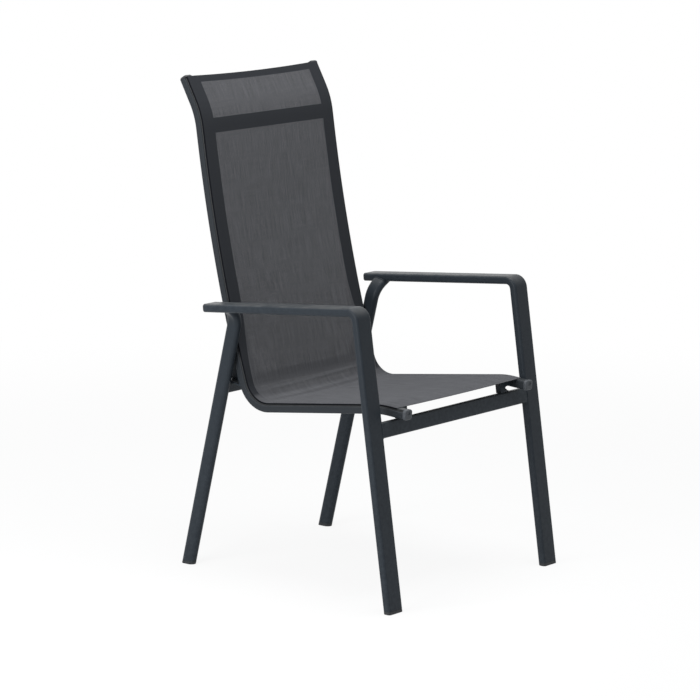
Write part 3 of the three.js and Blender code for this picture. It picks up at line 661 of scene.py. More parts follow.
def weave_group() -> bpy.types.NodeTree:
    """Builds a plain weave of round coated yarns with open corners between them.

    Its vector is the cloth's own flat coordinates in metres, x across and y along.
    """
    write, given, out = new_group(
        "plain_weave",
        {"Vector": None, "Yarns per Metre": 900.0, "Yarn Width": 0.8, "Unevenness": 0.1},
        ("Hole", "Height", "Tone"),
    )
    flat, count = given["Vector"], given["Yarns per Metre"]
    split = write.add("ShaderNodeSeparateXYZ", {0: flat}).outputs
    across, along = (write.times(split[axis], count) for axis in "XY")
    streak = write.noise(write.stretched(flat, 380.0, 16.0), 1.0, 3.0)
    bar = write.noise(write.stretched(flat, 9.0, 170.0), 1.0, 2.0)
    uneven = write.times(write.minus(streak, 0.5), given["Unevenness"])
    width = write.plus(given["Yarn Width"], uneven)
    profiles = []
    gaps = []
    for place in (across, along):
        centred = write.minus(write.math("FRACT", place), 0.5)
        off = write.times(write.math("ABSOLUTE", centred), 2.0)
        gaps.append(write.math("GREATER_THAN", off, width))
        share = write.math("DIVIDE", off, width)
        dome = write.minus(1.0, write.times(share, share))
        profiles.append(write.math("SQRT", write.math("MAXIMUM", dome, 0.0)))
    waves = (write.math("SINE", write.times(place, math.pi)) for place in (across, along))
    order = write.times(*waves)
    warp = write.times(profiles[0], write.plus(1.0, order))
    weft = write.times(profiles[1], write.minus(1.0, order))
    tone = write.plus(write.times(streak, 0.8), write.times(bar, 0.2))
    write.feed(out["Hole"], write.times(*gaps))
    write.feed(out["Height"], write.times(write.math("MAXIMUM", warp, weft), 0.5))
    write.feed(out["Tone"], tone)
    return write.tree


def doubled_group() -> bpy.types.NodeTree:
    """Builds the mask of the cloth's hems, which are doubled and let no light through.

    Its vector is the cloth's own flat coordinates in metres, x from the middle and y from the front edge.
    """
    write, given, out = new_group(
        "doubled_cloth",
        {
            "Vector": None, "Side Line": 0.18, "Taper": 0.0, "Taper Low": 0.5, "Taper High": 0.6,
            "Front Line": 0.016, "Band Start": 1.0, "Band End": 1.03, "Top Line": 1.1,
        },
        ("Mask",),
    )
    split = write.add("ShaderNodeSeparateXYZ", {0: given["Vector"]}).outputs
    along = split["Y"]
    narrowing = write.remap(along, given["Taper Low"], given["Taper High"], given["Taper"], 0.0)
    line = write.plus(given["Side Line"], narrowing)
    side = write.math("GREATER_THAN", write.math("ABSOLUTE", split["X"]), line)
    front = write.math("LESS_THAN", along, given["Front Line"])
    top = write.math("GREATER_THAN", along, given["Top Line"])
    past = write.math("GREATER_THAN", along, given["Band Start"])
    before = write.math("LESS_THAN", along, given["Band End"])
    ends = write.math("MAXIMUM", top, write.times(past, before))
    write.feed(out["Mask"], write.math("MAXIMUM", write.math("MAXIMUM", side, front), ends))
    return write.tree


GROUPS = {
    "grain": grain_group(),
    "wear": wear_group(),
    "dust": dust_group(),
    "weave": weave_group(),
    "doubled": doubled_group(),
}


# Finishes

WHITE = (1.0, 1.0, 1.0, 1.0)
DUST_COLOR = (0.35, 0.34, 0.32, 1.0)
# painted shade in the hollows between the yarns
CREVICE_SHADE_COLOR = (0.004, 0.004, 0.005, 1.0)  # between the yarns
WORN_SMOOTHER = 0.12  # how much less rough a rubbed edge is
GRAIN_STRENGTH = 0.35
WEAVE_STRENGTH = 0.5
YARN_HEIGHT = 0.15 * MM
TONE_SWING = 0.17  # how much lighter and darker the streaks are


def blank_material(name: str) -> tuple[Material, NodeWriter, bpy.types.Node]:
    """Makes an empty node material.

    Args:
        name: Name of the material.

    Returns:
        The material, a writer for its nodes, and its output node.
    """
    material = bpy.data.materials.new(name)
    material.use_nodes = True
    material.node_tree.nodes.clear()
    write = NodeWriter(material.node_tree)
    output = material.node_tree.nodes.new("ShaderNodeOutputMaterial")
    output.location = (OUTPUT_COLUMN, 0)
    return material, write, output


@dataclass(frozen=True)
class HardFinish:
    """A sprayed, moulded or metal surface.

    Attributes:
        name: Name of the material.
        color: Base colour, linear.
        worn_color: Colour of rubbed edges, linear.
        roughness: Mean roughness.
        metallic: Metallic value of the shader.
        grain_scale: Fineness of the pebble, in cells per metre.
        grain_depth: Depth of the pebble.
        wear: Strength of the edge wear.
        dust: Strength of the dust.
        specular: Specular level of the surface.
    """

    name: str
    color: Color
    worn_color: Color
    roughness: float
    metallic: float = 0.0
    grain_scale: float = 1400.0
    grain_depth: float = 0.05 * MM
    wear: float = 0.3
    dust: float = 0.05
    specular: float = 0.25

    def build(self) -> Material:
        """Builds the node material."""
        material, write, output = blank_material(self.name)
        place = write.add("ShaderNodeTexCoord").outputs["Object"]
        grain = write.group("grain", {
            "Vector": place,
            "Grain Scale": self.grain_scale,
            "Roughness": self.roughness,
            "Color": (*self.color, 1.0),
        })
        worn = write.group("wear", {"Vector": place, "Amount": self.wear})["Mask"]
        dust = write.group("dust", {"Vector": place, "Amount": self.dust})["Mask"]
        rubbed = write.mix(worn, grain["Color"], (*self.worn_color, 1.0))
        smoother = write.times(worn, WORN_SMOOTHER)
        bump = write.add(
            "ShaderNodeBump",
            {"Height": grain["Height"], "Strength": GRAIN_STRENGTH, "Distance": self.grain_depth},
        )
        shader = write.add("ShaderNodeBsdfPrincipled", {
            "Base Color": write.mix(dust, rubbed, DUST_COLOR),
            "Roughness": write.minus(grain["Roughness"], smoother),
            "Metallic": self.metallic,
            "Normal": bump.outputs["Normal"],
            "Specular IOR Level": self.specular,
        })
        write.feed(output.inputs["Surface"], shader.outputs[0])
        return material


@dataclass(frozen=True)
class MeshCloth:
    """Coated yarn mesh, or the same cloth doubled in a hem.

    Attributes:
        name: Name of the material.
        color: Colour of the yarn, linear; the single cloth's colour is lifted by painted light that shines
            through the yarns from behind.
        roughness: Roughness of the yarn's coating.
        specular: Specular level of the coating.
        grazing_sheen_gain: How much lighter the cloth's colour is made at a grazing look, a painted sheen.
        yarns_per_metre: Yarns per metre of cloth.
        yarn_width: Yarn width as a share of the spacing.
        unevenness: How much that share swings along the yarns.
        open_share: How clear an open corner is.
        hem_lines: Flat places of the hems, under the names of the doubled group's inputs.
        hem_color: Colour where the cloth is doubled, linear: the yarn without that painted light.
        wrap_line: Flat distance from the middle where the cloth starts round the rail's edge.
        slot_shade_color: Painted shade of the slot, laid on the yarn there, near black, linear.
    """

    name: str
    color: Color
    roughness: float = 0.6
    specular: float = 0.0
    grazing_sheen_gain: float = 1.35
    yarns_per_metre: float = 850.0
    yarn_width: float = 0.85
    unevenness: float = 0.06
    open_share: float = 0.5
    hem_lines: Optional[dict[str, float]] = None
    hem_color: Color = HEM_COLOR
    wrap_line: float = 1.0
    slot_shade_color: Color = (0.007, 0.008, 0.010)

    def build(self) -> Material:
        """Builds the node material."""
        material, write, output = blank_material(self.name)
        flat = write.add("ShaderNodeUVMap", uv_map="cloth").outputs["UV"]
        weave = write.group("weave", {
            "Vector": flat,
            "Yarns per Metre": self.yarns_per_metre,
            "Yarn Width": self.yarn_width,
            "Unevenness": self.unevenness,
        })
        slant = write.add("ShaderNodeLayerWeight", {"Blend": 0.5}).outputs["Facing"]
        dark, light = (
            (*(channel * swing for channel in self.color), 1.0) for swing in (1 - TONE_SWING, 1 + TONE_SWING)
        )
        color = write.mix(write.remap(weave["Tone"], 0.3, 0.7, 0.0, 1.0), dark, light)
        clear = 0.0
        if self.open_share > 0:
            share = write.remap(slant, 0.35, 0.47, self.open_share, 0.1 * self.open_share)
            clear = write.times(weave["Hole"], share)
        if self.hem_lines:
            doubled = write.group("doubled", {"Vector": flat, **self.hem_lines})["Mask"]
            doubled = write.times(doubled, write.remap(slant, 0.39, 0.52, 1.0, 0.0))
            clear = write.times(clear, write.minus(1.0, doubled))
            # Hems take the darker colour, without the painted light through the single cloth, except at a
            # grazing look.
            color = write.mix(doubled, color, (*self.hem_color, 1.0))
            # Painted shade of the slot: the cloth darkens to near black where it turns round the rail's edge.
            outward = write.add("ShaderNodeSeparateXYZ", {"Vector": flat}).outputs["X"]
            start, end = self.wrap_line - 1.0 * MM, self.wrap_line + 1.2 * MM
            slot_shade = write.remap(write.math("ABSOLUTE", outward), start, end, 0.0, 1.0)
            color = write.mix(slot_shade, color, (*self.slot_shade_color, 1.0))
        # Painted shade: the colour darkens where the yarns lie low, in the hollows of the weave.
        crevice_shade = write.remap(weave["Height"], 0.0, 0.7, 0.45, 0.0)
        # Painted sheen: the colour is lifted where the cloth is seen at a grazing angle.
        painted_sheen = write.remap(slant, 0.42, 0.85, 1.0, self.grazing_sheen_gain)
        bump = write.add(
            "ShaderNodeBump", {"Height": weave["Height"], "Strength": WEAVE_STRENGTH, "Distance": YARN_HEIGHT}
        )
        shader = write.add("ShaderNodeBsdfPrincipled", {
            "Base Color": write.scaled(write.mix(crevice_shade, color, CREVICE_SHADE_COLOR), painted_sheen),
            "Roughness": self.roughness,
            "Normal": bump.outputs["Normal"],
            "Specular IOR Level": self.specular,
            "Alpha": write.minus(1.0, clear) if self.open_share > 0 else 1.0,
        })
        write.feed(output.inputs["Surface"], shader.outputs[0])
        return material


class Finishes:
    """The chair's materials, built once."""

    def __init__(self) -> None:
        """Builds each material."""
        self.frame = HardFinish(
            "powder_coat", (0.0195, 0.0245, 0.0305), (0.05, 0.06, 0.07), 0.38, grain_scale=1500.0,
            specular=0.1, dust=0.14,
        ).build()
        self.rail = HardFinish(
            "rail_coat", (0.0205, 0.024, 0.028), (0.055, 0.062, 0.069), 0.4, grain_scale=1500.0,
            specular=0.12,
        ).build()
        self.plastic = HardFinish(
            "dark_moulding", (0.022, 0.024, 0.027), (0.05, 0.052, 0.055), 0.55, grain_scale=2200.0,
            grain_depth=0.04 * MM,
        ).build()
        self.grey_plastic = HardFinish(
            "grey_moulding", (0.052, 0.058, 0.066), (0.10, 0.105, 0.115), 0.5, grain_scale=2200.0,
            grain_depth=0.04 * MM,
        ).build()
        self.steel = HardFinish(
            "satin_steel", (0.42, 0.43, 0.44), (0.6, 0.6, 0.6), 0.32, metallic=0.9, grain_scale=3000.0,
            grain_depth=0.02 * MM, dust=0.02,
        ).build()
        self.cord = HardFinish(
            "cord_jacket", (0.012, 0.013, 0.014), (0.03, 0.03, 0.03), 0.5, grain_scale=900.0
        ).build()
        self.hem = MeshCloth("hem_mesh", HEM_COLOR, open_share=0.0).build()
        self.dark_steel = HardFinish(
            "blackened_steel", (0.03, 0.031, 0.034), (0.09, 0.09, 0.09), 0.36, metallic=0.5,
            grain_scale=3000.0, grain_depth=0.02 * MM, dust=0.02,
        ).build()
        self.mark = bpy.data.materials.new("cut_mark")


@dataclass
class Assembly:
    """A group of pieces that is built and reported together.

    Attributes:
        finishes: The materials that the pieces are dressed with.
        made: The finished pieces.
    """

    finishes: Finishes
    made: list[Piece] = field(default_factory=list)

    def hand_over(
        self,
        piece: Piece,
        material: Material,
        slot: Slot,
        node: Optional[str] = None,
        shade_angle: float = SHADE_ANGLE,
    ) -> None:
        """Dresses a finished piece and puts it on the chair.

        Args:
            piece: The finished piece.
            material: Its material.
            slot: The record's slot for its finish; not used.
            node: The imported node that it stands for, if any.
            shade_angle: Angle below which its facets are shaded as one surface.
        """
        piece.data.materials.clear()
        piece.data.materials.append(material)
        for polygon in piece.data.polygons:
            polygon.material_index = 0
        smooth(piece, shade_angle)
        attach(piece, BODY)
        if node:
            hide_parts(node)
        self.made.append(piece)

    def hand_over_pair(
        self,
        part: Piece,
        material: Material,
        slot: Slot,
        placing: Callable[[Side], Matrix],
        suffix: str = "shell",
    ) -> None:
        """Hands over one copy of a part for each side, and deletes the part.

        Args:
            part: The part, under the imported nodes' name without their side.
            material: Its material.
            slot: The record's slot for its finish.
            placing: Gives the move to its place on a side.
            suffix: Last word of the copies' names.
        """
        for side in Side:
            node = f"{part.name}_{side.label}"
            piece = copy_of(part, f"{node}_{suffix}")
            move_mesh(piece, placing(side))
            self.hand_over(piece, material, slot, node)
        remove(part)

    def report(self) -> None:
        """Logs each piece of the assembly."""
        for piece in self.made:
            LOG.info("%s: %s, %d faces", type(self).__name__, piece.name, len(piece.data.polygons))


# Profiles shared by the assemblies

DEPTH_SHIFT = 28.189 * MM  # from the drawing's zero to the middle of the footprint
CLEARANCE = 0.3 * MM
OVERRUN = 40 * MM  # length of a leg's tube below the floor, before it is cut off
SOLE_REACH = (-20 * MM, 30 * MM)  # the same for a sole, below the floor and above it
SOLE_EDGE = 0.8 * MM
SOLE_ANGLE = math.radians(45)  # edges of a sole sharper than this are rounded
TURN_STEPS = 24  # sides of a turned piece
DOME_STEPS = 5  # rings in the dome of a screw's head
BRACKET_ANGLE = 50.0  # edges of the brackets sharper than this are rounded, in degrees


def side_place(along: float, up: float) -> Vector:
    """Gives the point of the middle plane at the drawing's place and height."""
    return Vector((0.0, along + DEPTH_SHIFT, up))


def leg_line(foot_place: float, lean: float, height: float) -> tuple[Vector, float]:
    """Finds the point of a leg's axis at a height, and the axis' heading."""
    heading = math.radians(lean)
    foot = side_place(foot_place, 0.0)
    return foot + heading_vector(heading) * (height / math.sin(heading)), heading


def across_chair(place: Vector, heading: float) -> Matrix:
    """Turns a section so that its y follows the heading and its z runs to the sitter's left."""
    up = heading_vector(heading)
    return frame_at(place, up.cross(ACROSS), up, ACROSS)


def bevel_where(
    piece: Piece, wanted: Callable[[bmesh.types.BMEdge], bool], width: float, segments: int
) -> None:
    """Rounds the edges of a piece that pass a test."""
    edit(piece)
    if select_parts(piece, "EDGE", wanted):
        bpy.ops.mesh.bevel(offset=width, segments=segments, affect="EDGES", clamp_overlap=True)
    leave_edit()


def rounded_block(name: str, outline: Outline, start: float, end: float, edge: float) -> Piece:
    """Extrudes a section along its own z and rounds the edge at its far end."""
    piece = push_out(name, outline, Matrix.Identity(4), start, end)
    far = lambda spot: abs(spot.co.z - end) < TOUCH
    bevel_where(piece, lambda item: all(far(spot) for spot in item.verts), edge, 4)
    return piece


def stack_rings(name: str, outline: Outline, rings: list[tuple[float, float, float]]) -> Piece:
    """Builds a solid from one section, resized at each of several heights.

    Args:
        name: Name of the new piece.
        outline: The section's points, round its own middle.
        rings: Height, and share of the section's x and y, lowest first; the first has the whole section.

    Returns:
        The closed solid, upright on its own z.
    """
    piece = start_solid(name, outline, Matrix.Translation((0.0, 0.0, rings[0][0])))
    for (height, share_x, share_y), (next_height, next_x, next_y) in zip(rings, rings[1:]):
        extrude_up(next_height - height)
        resize_ring(next_x / share_x, next_y / share_y, next_height)
    return tidy_shell(piece)


def domed_block(name: str, outline: Outline, start: float, end: float, edge: float, steps: int) -> Piece:
    """Extrudes a section along its own z and draws it in by the edge, ring by ring, to a dome."""
    half_x = max(x for x, _ in outline)
    half_y = max(y for _, y in outline)
    rings = [(start, 1.0, 1.0)]
    for count in range(steps + 1):
        angle = math.pi / 2 * count / steps
        inset = edge * (1 - math.cos(angle))
        level = end - edge * (1 - math.sin(angle))
        if level - start > TOUCH:
            rings.append((level, 1 - inset / half_x, 1 - inset / half_y))
    return stack_rings(name, outline, rings)


def turned(name: str, rings: list[tuple[float, float]]) -> Piece:
    """Turns a solid, upright on its own z, from rings of radius and height, lowest first."""
    first = rings[0][0]
    circle = arc_points((0.0, 0.0), first, 0.0, 360.0, TURN_STEPS)[:-1]
    return stack_rings(name, circle, [(height, radius / first, radius / first) for radius, height in rings])


def sink_socket(piece: Piece, top: float, depth: float) -> None:
    """Sinks a hexagon socket into the flat top of a turned piece, as wide as the top.

    Args:
        piece: The piece, upright on its own z.
        top: Height of its flat top.
        depth: Depth of the socket.
    """
    half_side = math.pi / 6  # angle from a corner of the hexagon to the middle of its side
    for vertex in piece.data.vertices:
        if abs(vertex.co.z - top) < TOUCH:
            angle = math.atan2(vertex.co.y, vertex.co.x) % (2 * half_side)
            share = math.cos(half_side) / math.cos(angle - half_side)
            vertex.co.x *= share
            vertex.co.y *= share
    edit(piece)
    flat = lambda face: abs(face.calc_center_median().z - top) < TOUCH and face.normal.z > 0.9
    select_parts(piece, "FACE", flat)
    extrude_up(-depth)
    leave_edit()


def drill(piece: Piece, place: Vector, toward: Vector, radius: float, length: float) -> None:
    """Drills a round hole through a piece, centred on a place."""
    drill_bit = turned("drill_bit", [(radius, -length / 2), (radius, length / 2)])
    move_mesh(drill_bit, upright_at(place, toward))
    combine(piece, drill_bit, "DIFFERENCE")


def sole(name: str, outline: Outline, place: Matrix, height: float) -> Piece:
    """Builds the sole under a leg, level with the floor and cut level at a height."""
    piece = push_out(name, outline, place, *SOLE_REACH)
    cut_off(piece, 0.0 * UP, -UP, fill=True)
    cut_off(piece, height * UP, UP, fill=True)
    tidy_shell(piece)
    bevel_where(piece, lambda item: abs(item.calc_face_angle(0.0)) > SOLE_ANGLE, SOLE_EDGE, 3)
    return piece


@dataclass
class SideFrames(Assembly):
    """The two bent flat tubes that are armrest and front leg, with their plugs and foot caps.

    Attributes:
        half_spacing: Chair's middle to a tube's middle.
        width: Tube's width across the chair.
        thickness: Tube's thickness.
        corner: Radius of the tube's corners.
        wall: Tube's wall.
        foot_place: Where the leg's axis meets the floor.
        leg_lean: Lean of the leg's top to the rear, in degrees.
        corner_height: Height where the axes of leg and arm would meet.
        arm_fall: Fall of the arm to the rear, in degrees.
        arm_reach: Length from that corner to the arm's end, plug included.
        bend_radius: Radius of the bend at the front of the arm.
        sole_height: Height of the foot cap's sole.
        plug_thickness: Thickness of the arm plug's flange.
        plug_edge: Rounding of the flange.
        plug_dish: Rim, slope and depth of the dish in it.
    """

    half_spacing: float = 274.5 * MM
    width: float = 46.6 * MM
    thickness: float = 18.4 * MM
    corner: float = 6 * MM
    wall: float = 1.8 * MM
    foot_place: float = -350 * MM
    leg_lean: float = 8.2
    corner_height: float = 640 * MM
    arm_fall: float = 5.0
    arm_reach: float = 431 * MM
    bend_radius: float = 20 * MM
    sole_height: float = 7 * MM
    plug_thickness: float = 3 * MM
    plug_edge: float = 1.6 * MM
    plug_dish: tuple[float, float, float] = (2.2 * MM, 0.5 * MM, 0.35 * MM)

    def outline(self, inset: float = 0.0) -> Outline:
        """Gives the tube's section, made smaller by the inset."""
        width = self.width - 2 * inset
        return rounded_rectangle(width, self.thickness - 2 * inset, self.corner - inset)

    def foot_line(self) -> tuple[Vector, float]:
        """Gives the leg axis' foot and heading."""
        return leg_line(self.foot_place, 90 - self.leg_lean, 0.0)

    def route(self) -> Route:
        """Gives the tube's axis from below the floor to the arm's rear end."""
        foot, heading = self.foot_line()
        turn = -(90 - self.leg_lean + self.arm_fall)
        allowance = bend_allowance(self.bend_radius, turn)
        leg = self.corner_height / math.cos(math.radians(self.leg_lean))
        return (
            Route(foot - heading_vector(heading) * OVERRUN, heading)
            .run(OVERRUN + leg - allowance)
            .bend(self.bend_radius, turn)
            .run(self.arm_reach - allowance - self.plug_thickness - CLEARANCE)
        )

    def envelope(self, side: Side) -> Piece:
        """Builds the space that the tube and its clearance take up."""
        space = sweep("frame_space", self.outline(-CLEARANCE), self.route(), COARSE_BEND)
        return move_mesh(space, shift_across(side.value * self.half_spacing))

    def tube(self) -> Piece:
        """Builds the hollow tube in the middle plane."""
        route = self.route()
        piece = sweep("arm_leg", self.outline(), route, FINE_BEND)
        end, heading = route.station(route.length)
        along = heading_vector(heading)
        delete_faces(piece, lambda face: (face.calc_center_median() - end).dot(along) > -TOUCH)
        cut_off(piece, (self.sole_height + CLEARANCE) * UP, -UP)
        thicken_inwards(piece, self.wall)
        return piece

    def arm_plug(self) -> Piece:
        """Builds the plug's flange, with a shallow dish pressed into its face."""
        end = CLEARANCE + self.plug_thickness
        piece = rounded_block("arm_end_plug", self.outline(), CLEARANCE, end, self.plug_edge)
        edit(piece)
        top = lambda face: face.normal.z > 0.99 and face.calc_center_median().z > end - TOUCH
        select_parts(piece, "FACE", top)
        rim, slope, depth = self.plug_dish
        bpy.ops.mesh.inset(thickness=rim, depth=0.0)
        bpy.ops.mesh.inset(thickness=slope, depth=-depth)
        leave_edit()
        route = self.route()
        return move_mesh(piece, route.across(route.length))

    def foot_cap(self) -> Piece:
        """Builds the sole under the leg, level with the floor."""
        place = across_matrix(*self.foot_line())
        return sole("front_foot_cap", self.outline(), place, self.sole_height)

    def build(self) -> None:
        """Builds both sides from one set of pieces."""
        finishes = self.finishes
        placing = lambda side: shift_across(side.value * self.half_spacing)
        self.hand_over_pair(self.tube(), finishes.frame, Slot.FRAME, placing)
        self.hand_over_pair(self.arm_plug(), finishes.plastic, Slot.PLASTIC, placing)
        self.hand_over_pair(self.foot_cap(), finishes.plastic, Slot.PLASTIC, placing)


@dataclass
class RearLegs(Assembly):
    """The two slimmer oval tubes inside the side frames, bent out to the underside of the arms.

    Attributes:
        frames: The side frames that they are welded to.
        half_spacing: Chair's middle to a leg's middle.
        length: Tube's size fore and aft.
        width: Tube's size across the chair.
        wall: Tube's wall.
        foot_place: Where the axis meets the floor.
        lean: Lean of the leg's top to the front, in degrees.
        bend_radius: Radius of the outward bend.
        turn: Angle of the outward bend, in degrees.
        tail: Straight length from the bend to the middle of the arm.
        bead: Radius of the weld bead.
    """

    frames: SideFrames = field(kw_only=True)
    half_spacing: float = 236.6 * MM
    length: float = 34.4 * MM
    width: float = 20 * MM
    wall: float = 1.8 * MM
    foot_place: float = 275.8 * MM
    lean: float = 14.2
    bend_radius: float = 48 * MM
    turn: float = 55.0
    tail: float = 18 * MM
    bead: float = 1.3 * MM

    def outline(self, inset: float = 0.0) -> Outline:
        """Gives the leg's section, made smaller by the inset."""
        depth = self.width - 2 * inset
        return rounded_rectangle(self.length - 2 * inset, depth, depth / 2 - 1e-5, 12)

    def leg_length(self) -> float:
        """Gives the length of the unbent axis from the floor to the arm's axis."""
        foot, heading = self.frames.foot_line()
        leg = self.frames.corner_height / math.cos(math.radians(self.frames.leg_lean))
        corner = foot + heading_vector(heading) * leg
        slope = math.tan(math.radians(self.frames.arm_fall))
        lean = math.radians(self.lean)
        fall = slope * (self.foot_place + DEPTH_SHIFT - corner.y)
        return (self.frames.corner_height - fall) / (math.cos(lean) - slope * math.sin(lean))

    def route(self) -> Route:
        """Gives the leg's axis in its own upright plane."""
        turn = math.radians(self.turn)
        bend_height = self.bend_radius * math.sin(turn) + self.tail * math.cos(turn)
        return (
            Route(Vector((0.0, 0.0, -OVERRUN)), math.pi / 2)
            .run(OVERRUN + self.leg_length() - bend_height)
            .bend(self.bend_radius, -self.turn)
            .run(self.tail + self.width)
        )

    def placing(self, side: Side) -> Matrix:
        """Gives the move from the leg's own plane to its place on the chair."""
        lean = math.radians(self.lean)
        outward = side.value * ACROSS
        upward = Vector((0.0, -math.sin(lean), math.cos(lean)))
        foot = side_place(self.foot_place, 0.0) + outward * self.half_spacing
        return frame_at(foot, outward.cross(upward), outward, upward)

    def envelope(self, side: Side) -> Piece:
        """Builds the space that a leg and its clearance take up."""
        space = sweep("leg_space", self.outline(-CLEARANCE), self.route(), COARSE_BEND)
        return tidy_shell(move_mesh(space, self.placing(side)))

    def build_leg(self, side: Side) -> None:
        """Builds a leg, its weld to the arm and its foot cap."""
        piece = sweep(f"rear_leg_{side.label}_shell", self.outline(), self.route(), FINE_BEND)
        move_mesh(piece, self.placing(side))
        tidy_shell(piece)
        cut_by(piece, self.frames.envelope(side), self.finishes.mark)
        route = self.frames.route()
        end, heading = route.station(route.length)
        cut_off(piece, end, left_vector(heading))
        cut_off(piece, (self.frames.sole_height + CLEARANCE) * UP, -UP)
        high = lambda spot: spot.z > self.frames.corner_height * 0.8
        bead = weld_bead(f"rear_leg_weld_{side.label}", piece, high, self.bead)
        thicken_inwards(piece, self.wall)
        self.hand_over(piece, self.finishes.frame, Slot.FRAME, f"rear_leg_{side.label}")
        self.hand_over(bead, self.finishes.frame, Slot.FRAME, shade_angle=WELD_SHADE_ANGLE)

    def build_cap(self, side: Side) -> None:
        """Builds the sole under a leg."""
        name = f"rear_foot_cap_{side.label}"
        piece = sole(f"{name}_shell", self.outline(), self.placing(side), self.frames.sole_height)
        self.hand_over(piece, self.finishes.plastic, Slot.PLASTIC, name)

    def build(self) -> None:
        """Builds both legs."""
        for side in Side:
            self.build_leg(side)
            self.build_cap(side)


@dataclass
class Crossbar(Assembly):
    """A flat tube between two legs, in line with their lean, with its ends cut round the legs.

    Attributes:
        node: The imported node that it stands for.
        foot_place: Where the legs' axis meets the floor.
        heading: Heading of the legs' axis, in degrees.
        height: Height of the bar's middle.
        tall: Size of the section along the legs.
        deep: Size of the section across the legs.
        leg_face: Chair's middle to the legs' inner face.
        envelope: Builder of the space that a leg takes up.
        corner: Radius of the section's corners.
        wall: Tube's wall.
        coping: How far the bar's end reaches round a leg.
        bead: Radius of the weld bead.
    """

    node: str = field(kw_only=True)
    foot_place: float = field(kw_only=True)
    heading: float = field(kw_only=True)
    height: float = field(kw_only=True)
    tall: float = field(kw_only=True)
    deep: float = 18 * MM
    leg_face: float = field(kw_only=True)
    envelope: Callable[[Side], Piece] = field(kw_only=True)
    corner: float = 4 * MM
    wall: float = 1.8 * MM
    coping: float = 4 * MM
    bead: float = 1.3 * MM

    def line(self) -> tuple[Vector, float]:
        """Gives the bar's middle and its heading up the legs."""
        return leg_line(self.foot_place, self.heading, self.height)

    def build(self) -> None:
        """Builds the bar and the weld at each end."""
        outline = rounded_rectangle(self.deep, self.tall, self.corner)
        half = self.leg_face + self.coping
        piece = push_out(f"{self.node}_shell", outline, across_chair(*self.line()), -half, half)
        for side in Side:
            cut_by(piece, self.envelope(side), self.finishes.mark)
        for side in Side:
            near = lambda spot: spot.x * side.value > 0
            bead = weld_bead(f"{self.node}_weld_{side.label}", piece, near, self.bead)
            self.hand_over(bead, self.finishes.frame, Slot.FRAME, shade_angle=WELD_SHADE_ANGLE)
        thicken_inwards(piece, self.wall)
        self.hand_over(piece, self.finishes.frame, Slot.FRAME, self.node)


